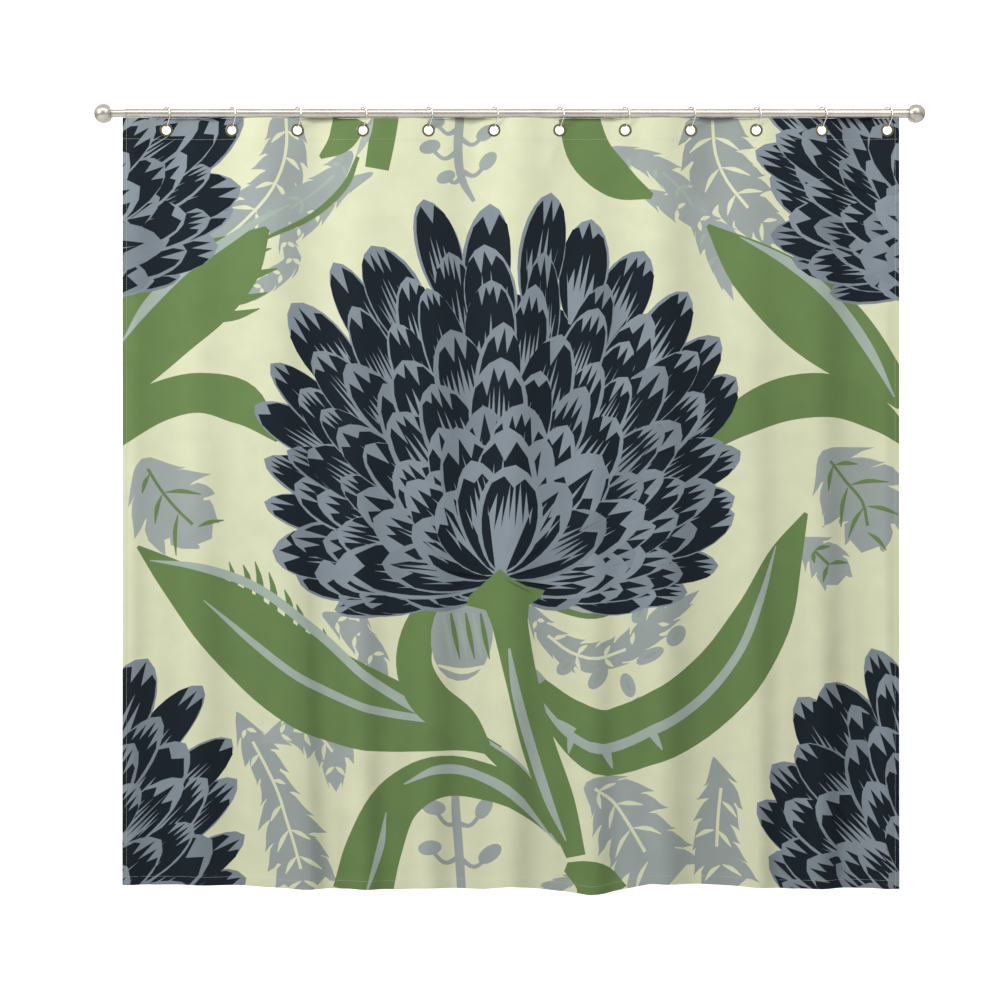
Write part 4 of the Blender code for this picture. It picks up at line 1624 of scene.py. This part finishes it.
def flat_square(name, corners, material):
    mesh = bpy.data.meshes.new(name)
    mesh.from_pydata(corners, [], [tuple(range(len(corners)))])
    obj = new_piece(name, mesh, material)
    return obj


def area_light(name, place, target, size, power):
    data = bpy.data.lights.new(name, "AREA")
    data.shape = "RECTANGLE"
    data.size, data.size_y = size
    data.energy = power
    light = in_scene(name, data)
    light.location = place
    light.rotation_euler = (Vector(target) - Vector(place)).to_track_quat("-Z", "Y").to_euler()


def studio_world():
    """A pale studio, darker below. Metal mirrors a brighter one than the cloth is lit by."""
    world = bpy.data.worlds.new("studio")
    world.use_nodes = True
    tree = world.node_tree
    lit, output = tree.nodes["Background"], tree.nodes["World Output"]
    place = add_node(tree, "ShaderNodeTexCoord").outputs["Generated"]
    height = add_node(tree, "ShaderNodeSeparateXYZ", {"Vector": place}).outputs["Z"]
    share = add_node(
        tree, "ShaderNodeMapRange", {"Value": height, "From Min": -0.35, "From Max": 0.5}
    )
    tone = add_node(
        tree, "ShaderNodeMapRange", {"Value": share.outputs[0], "To Min": 0.42, "To Max": 1.0}
    )
    path = add_node(tree, "ShaderNodeLightPath").outputs
    strength = add_node(
        tree, "ShaderNodeMapRange", {"Value": path["Is Glossy Ray"], "To Min": 0.56, "To Max": 1.0}
    )
    seen = add_node(tree, "ShaderNodeBackground", {"Color": (0.9, 0.9, 0.89, 1), "Strength": 1.0})
    either = add_node(
        tree,
        "ShaderNodeMixShader",
        {0: path["Is Camera Ray"], 1: lit.outputs[0], 2: seen.outputs[0]},
    )
    tree.links.new(tone.outputs[0], lit.inputs["Color"])
    tree.links.new(strength.outputs[0], lit.inputs["Strength"])
    tree.links.new(either.outputs[0], output.inputs["Surface"])
    return world


WALL_Y = 0.9  # behind the curtain's swing


class CURTAIN_OT_stage(bpy.types.Operator):
    """Pale floor and backdrop, soft studio light and the camera"""

    bl_idname = "curtain.stage"
    bl_label = "Stage"

    def execute(self, context):
        _, _, stage = settings_of(context)
        low = stage.floor_height
        middle = Vector((-0.0225, 0, -0.8977))
        corners = [(-6, -7, low), (6, -7, low), (6, 6, low), (-6, 6, low)]
        flat_square("floor", corners, floor_paint(stage)).visible_diffuse = False
        corners = [(-4, WALL_Y, low), (4, WALL_Y, low), (4, WALL_Y, 1.9), (-4, WALL_Y, 1.9)]
        wall = flat_square("backdrop", corners, backdrop_paint(stage))
        wall.visible_diffuse = wall.visible_glossy = False
        wall.visible_transmission = wall.visible_shadow = False
        area_light("key_softbox", (-4.2, -3.0, 1.5), middle, (1.4, 2.2), stage.key_power)
        area_light("fill_softbox", (2.2, -4.4, 1.2), middle, (2.6, 2.4), stage.fill_power)
        area_light("top_softbox", (0, -2.6, 2.3), (0, 0, -0.5), (4.6, 0.9), stage.top_power)
        area_light("back_softbox", (0.6, 3.2, 1.2), middle, (2.4, 1.6), stage.back_power)
        context.scene.world = studio_world()

        data = bpy.data.cameras.new("camera")
        data.lens, data.sensor_width = stage.lens, 36
        data.clip_end = 60
        camera = bpy.data.objects.new("camera", data)
        distance = stage.view_width * stage.lens / 36
        camera.location = middle - Vector((0, distance, 0))
        camera.rotation_euler = (math.pi / 2, 0, 0)
        context.scene.collection.objects.link(camera)
        context.scene.camera = camera
        context.scene.view_settings.view_transform = "Standard"
        return {"FINISHED"}


OPERATORS = (
    CURTAIN_OT_rod,
    CURTAIN_OT_finials,
    CURTAIN_OT_hidden_parts,
    CURTAIN_OT_hooks,
    CURTAIN_OT_eyelets,
    CURTAIN_OT_stitches,
    CURTAIN_OT_cloth,
    CURTAIN_OT_stage,
)


class CURTAIN_PT_panel(bpy.types.Panel):
    """The pieces of the curtain, in the order that they are made"""

    bl_idname = "CURTAIN_PT_panel"
    bl_label = "Shower curtain"
    bl_space_type = "VIEW_3D"
    bl_region_type = "UI"
    bl_category = "Curtain"

    def draw(self, context):
        for operator in OPERATORS:
            self.layout.operator(operator.bl_idname)
        for group in settings_of(context):
            box = self.layout.box()
            for name in group.bl_rna.properties.keys():
                if name not in ("rna_type", "name"):
                    box.prop(group, name)


GROUPS = {
    "curtain_hardware": HardwareSettings,
    "curtain_cloth": ClothSettings,
    "curtain_stage": StageSettings,
}


def register():
    for made in (*GROUPS.values(), *OPERATORS, CURTAIN_PT_panel):
        bpy.utils.register_class(made)
    for name, group in GROUPS.items():
        setattr(bpy.types.Scene, name, PointerProperty(type=group))


def unregister():
    for name in GROUPS:
        delattr(bpy.types.Scene, name)
    for made in reversed((*GROUPS.values(), *OPERATORS, CURTAIN_PT_panel)):
        bpy.utils.unregister_class(made)


def main():
    register()
    for operator in OPERATORS:
        group, name = operator.bl_idname.split(".")
        getattr(getattr(bpy.ops, group), name)()


if __name__ == "__main__":
    main()
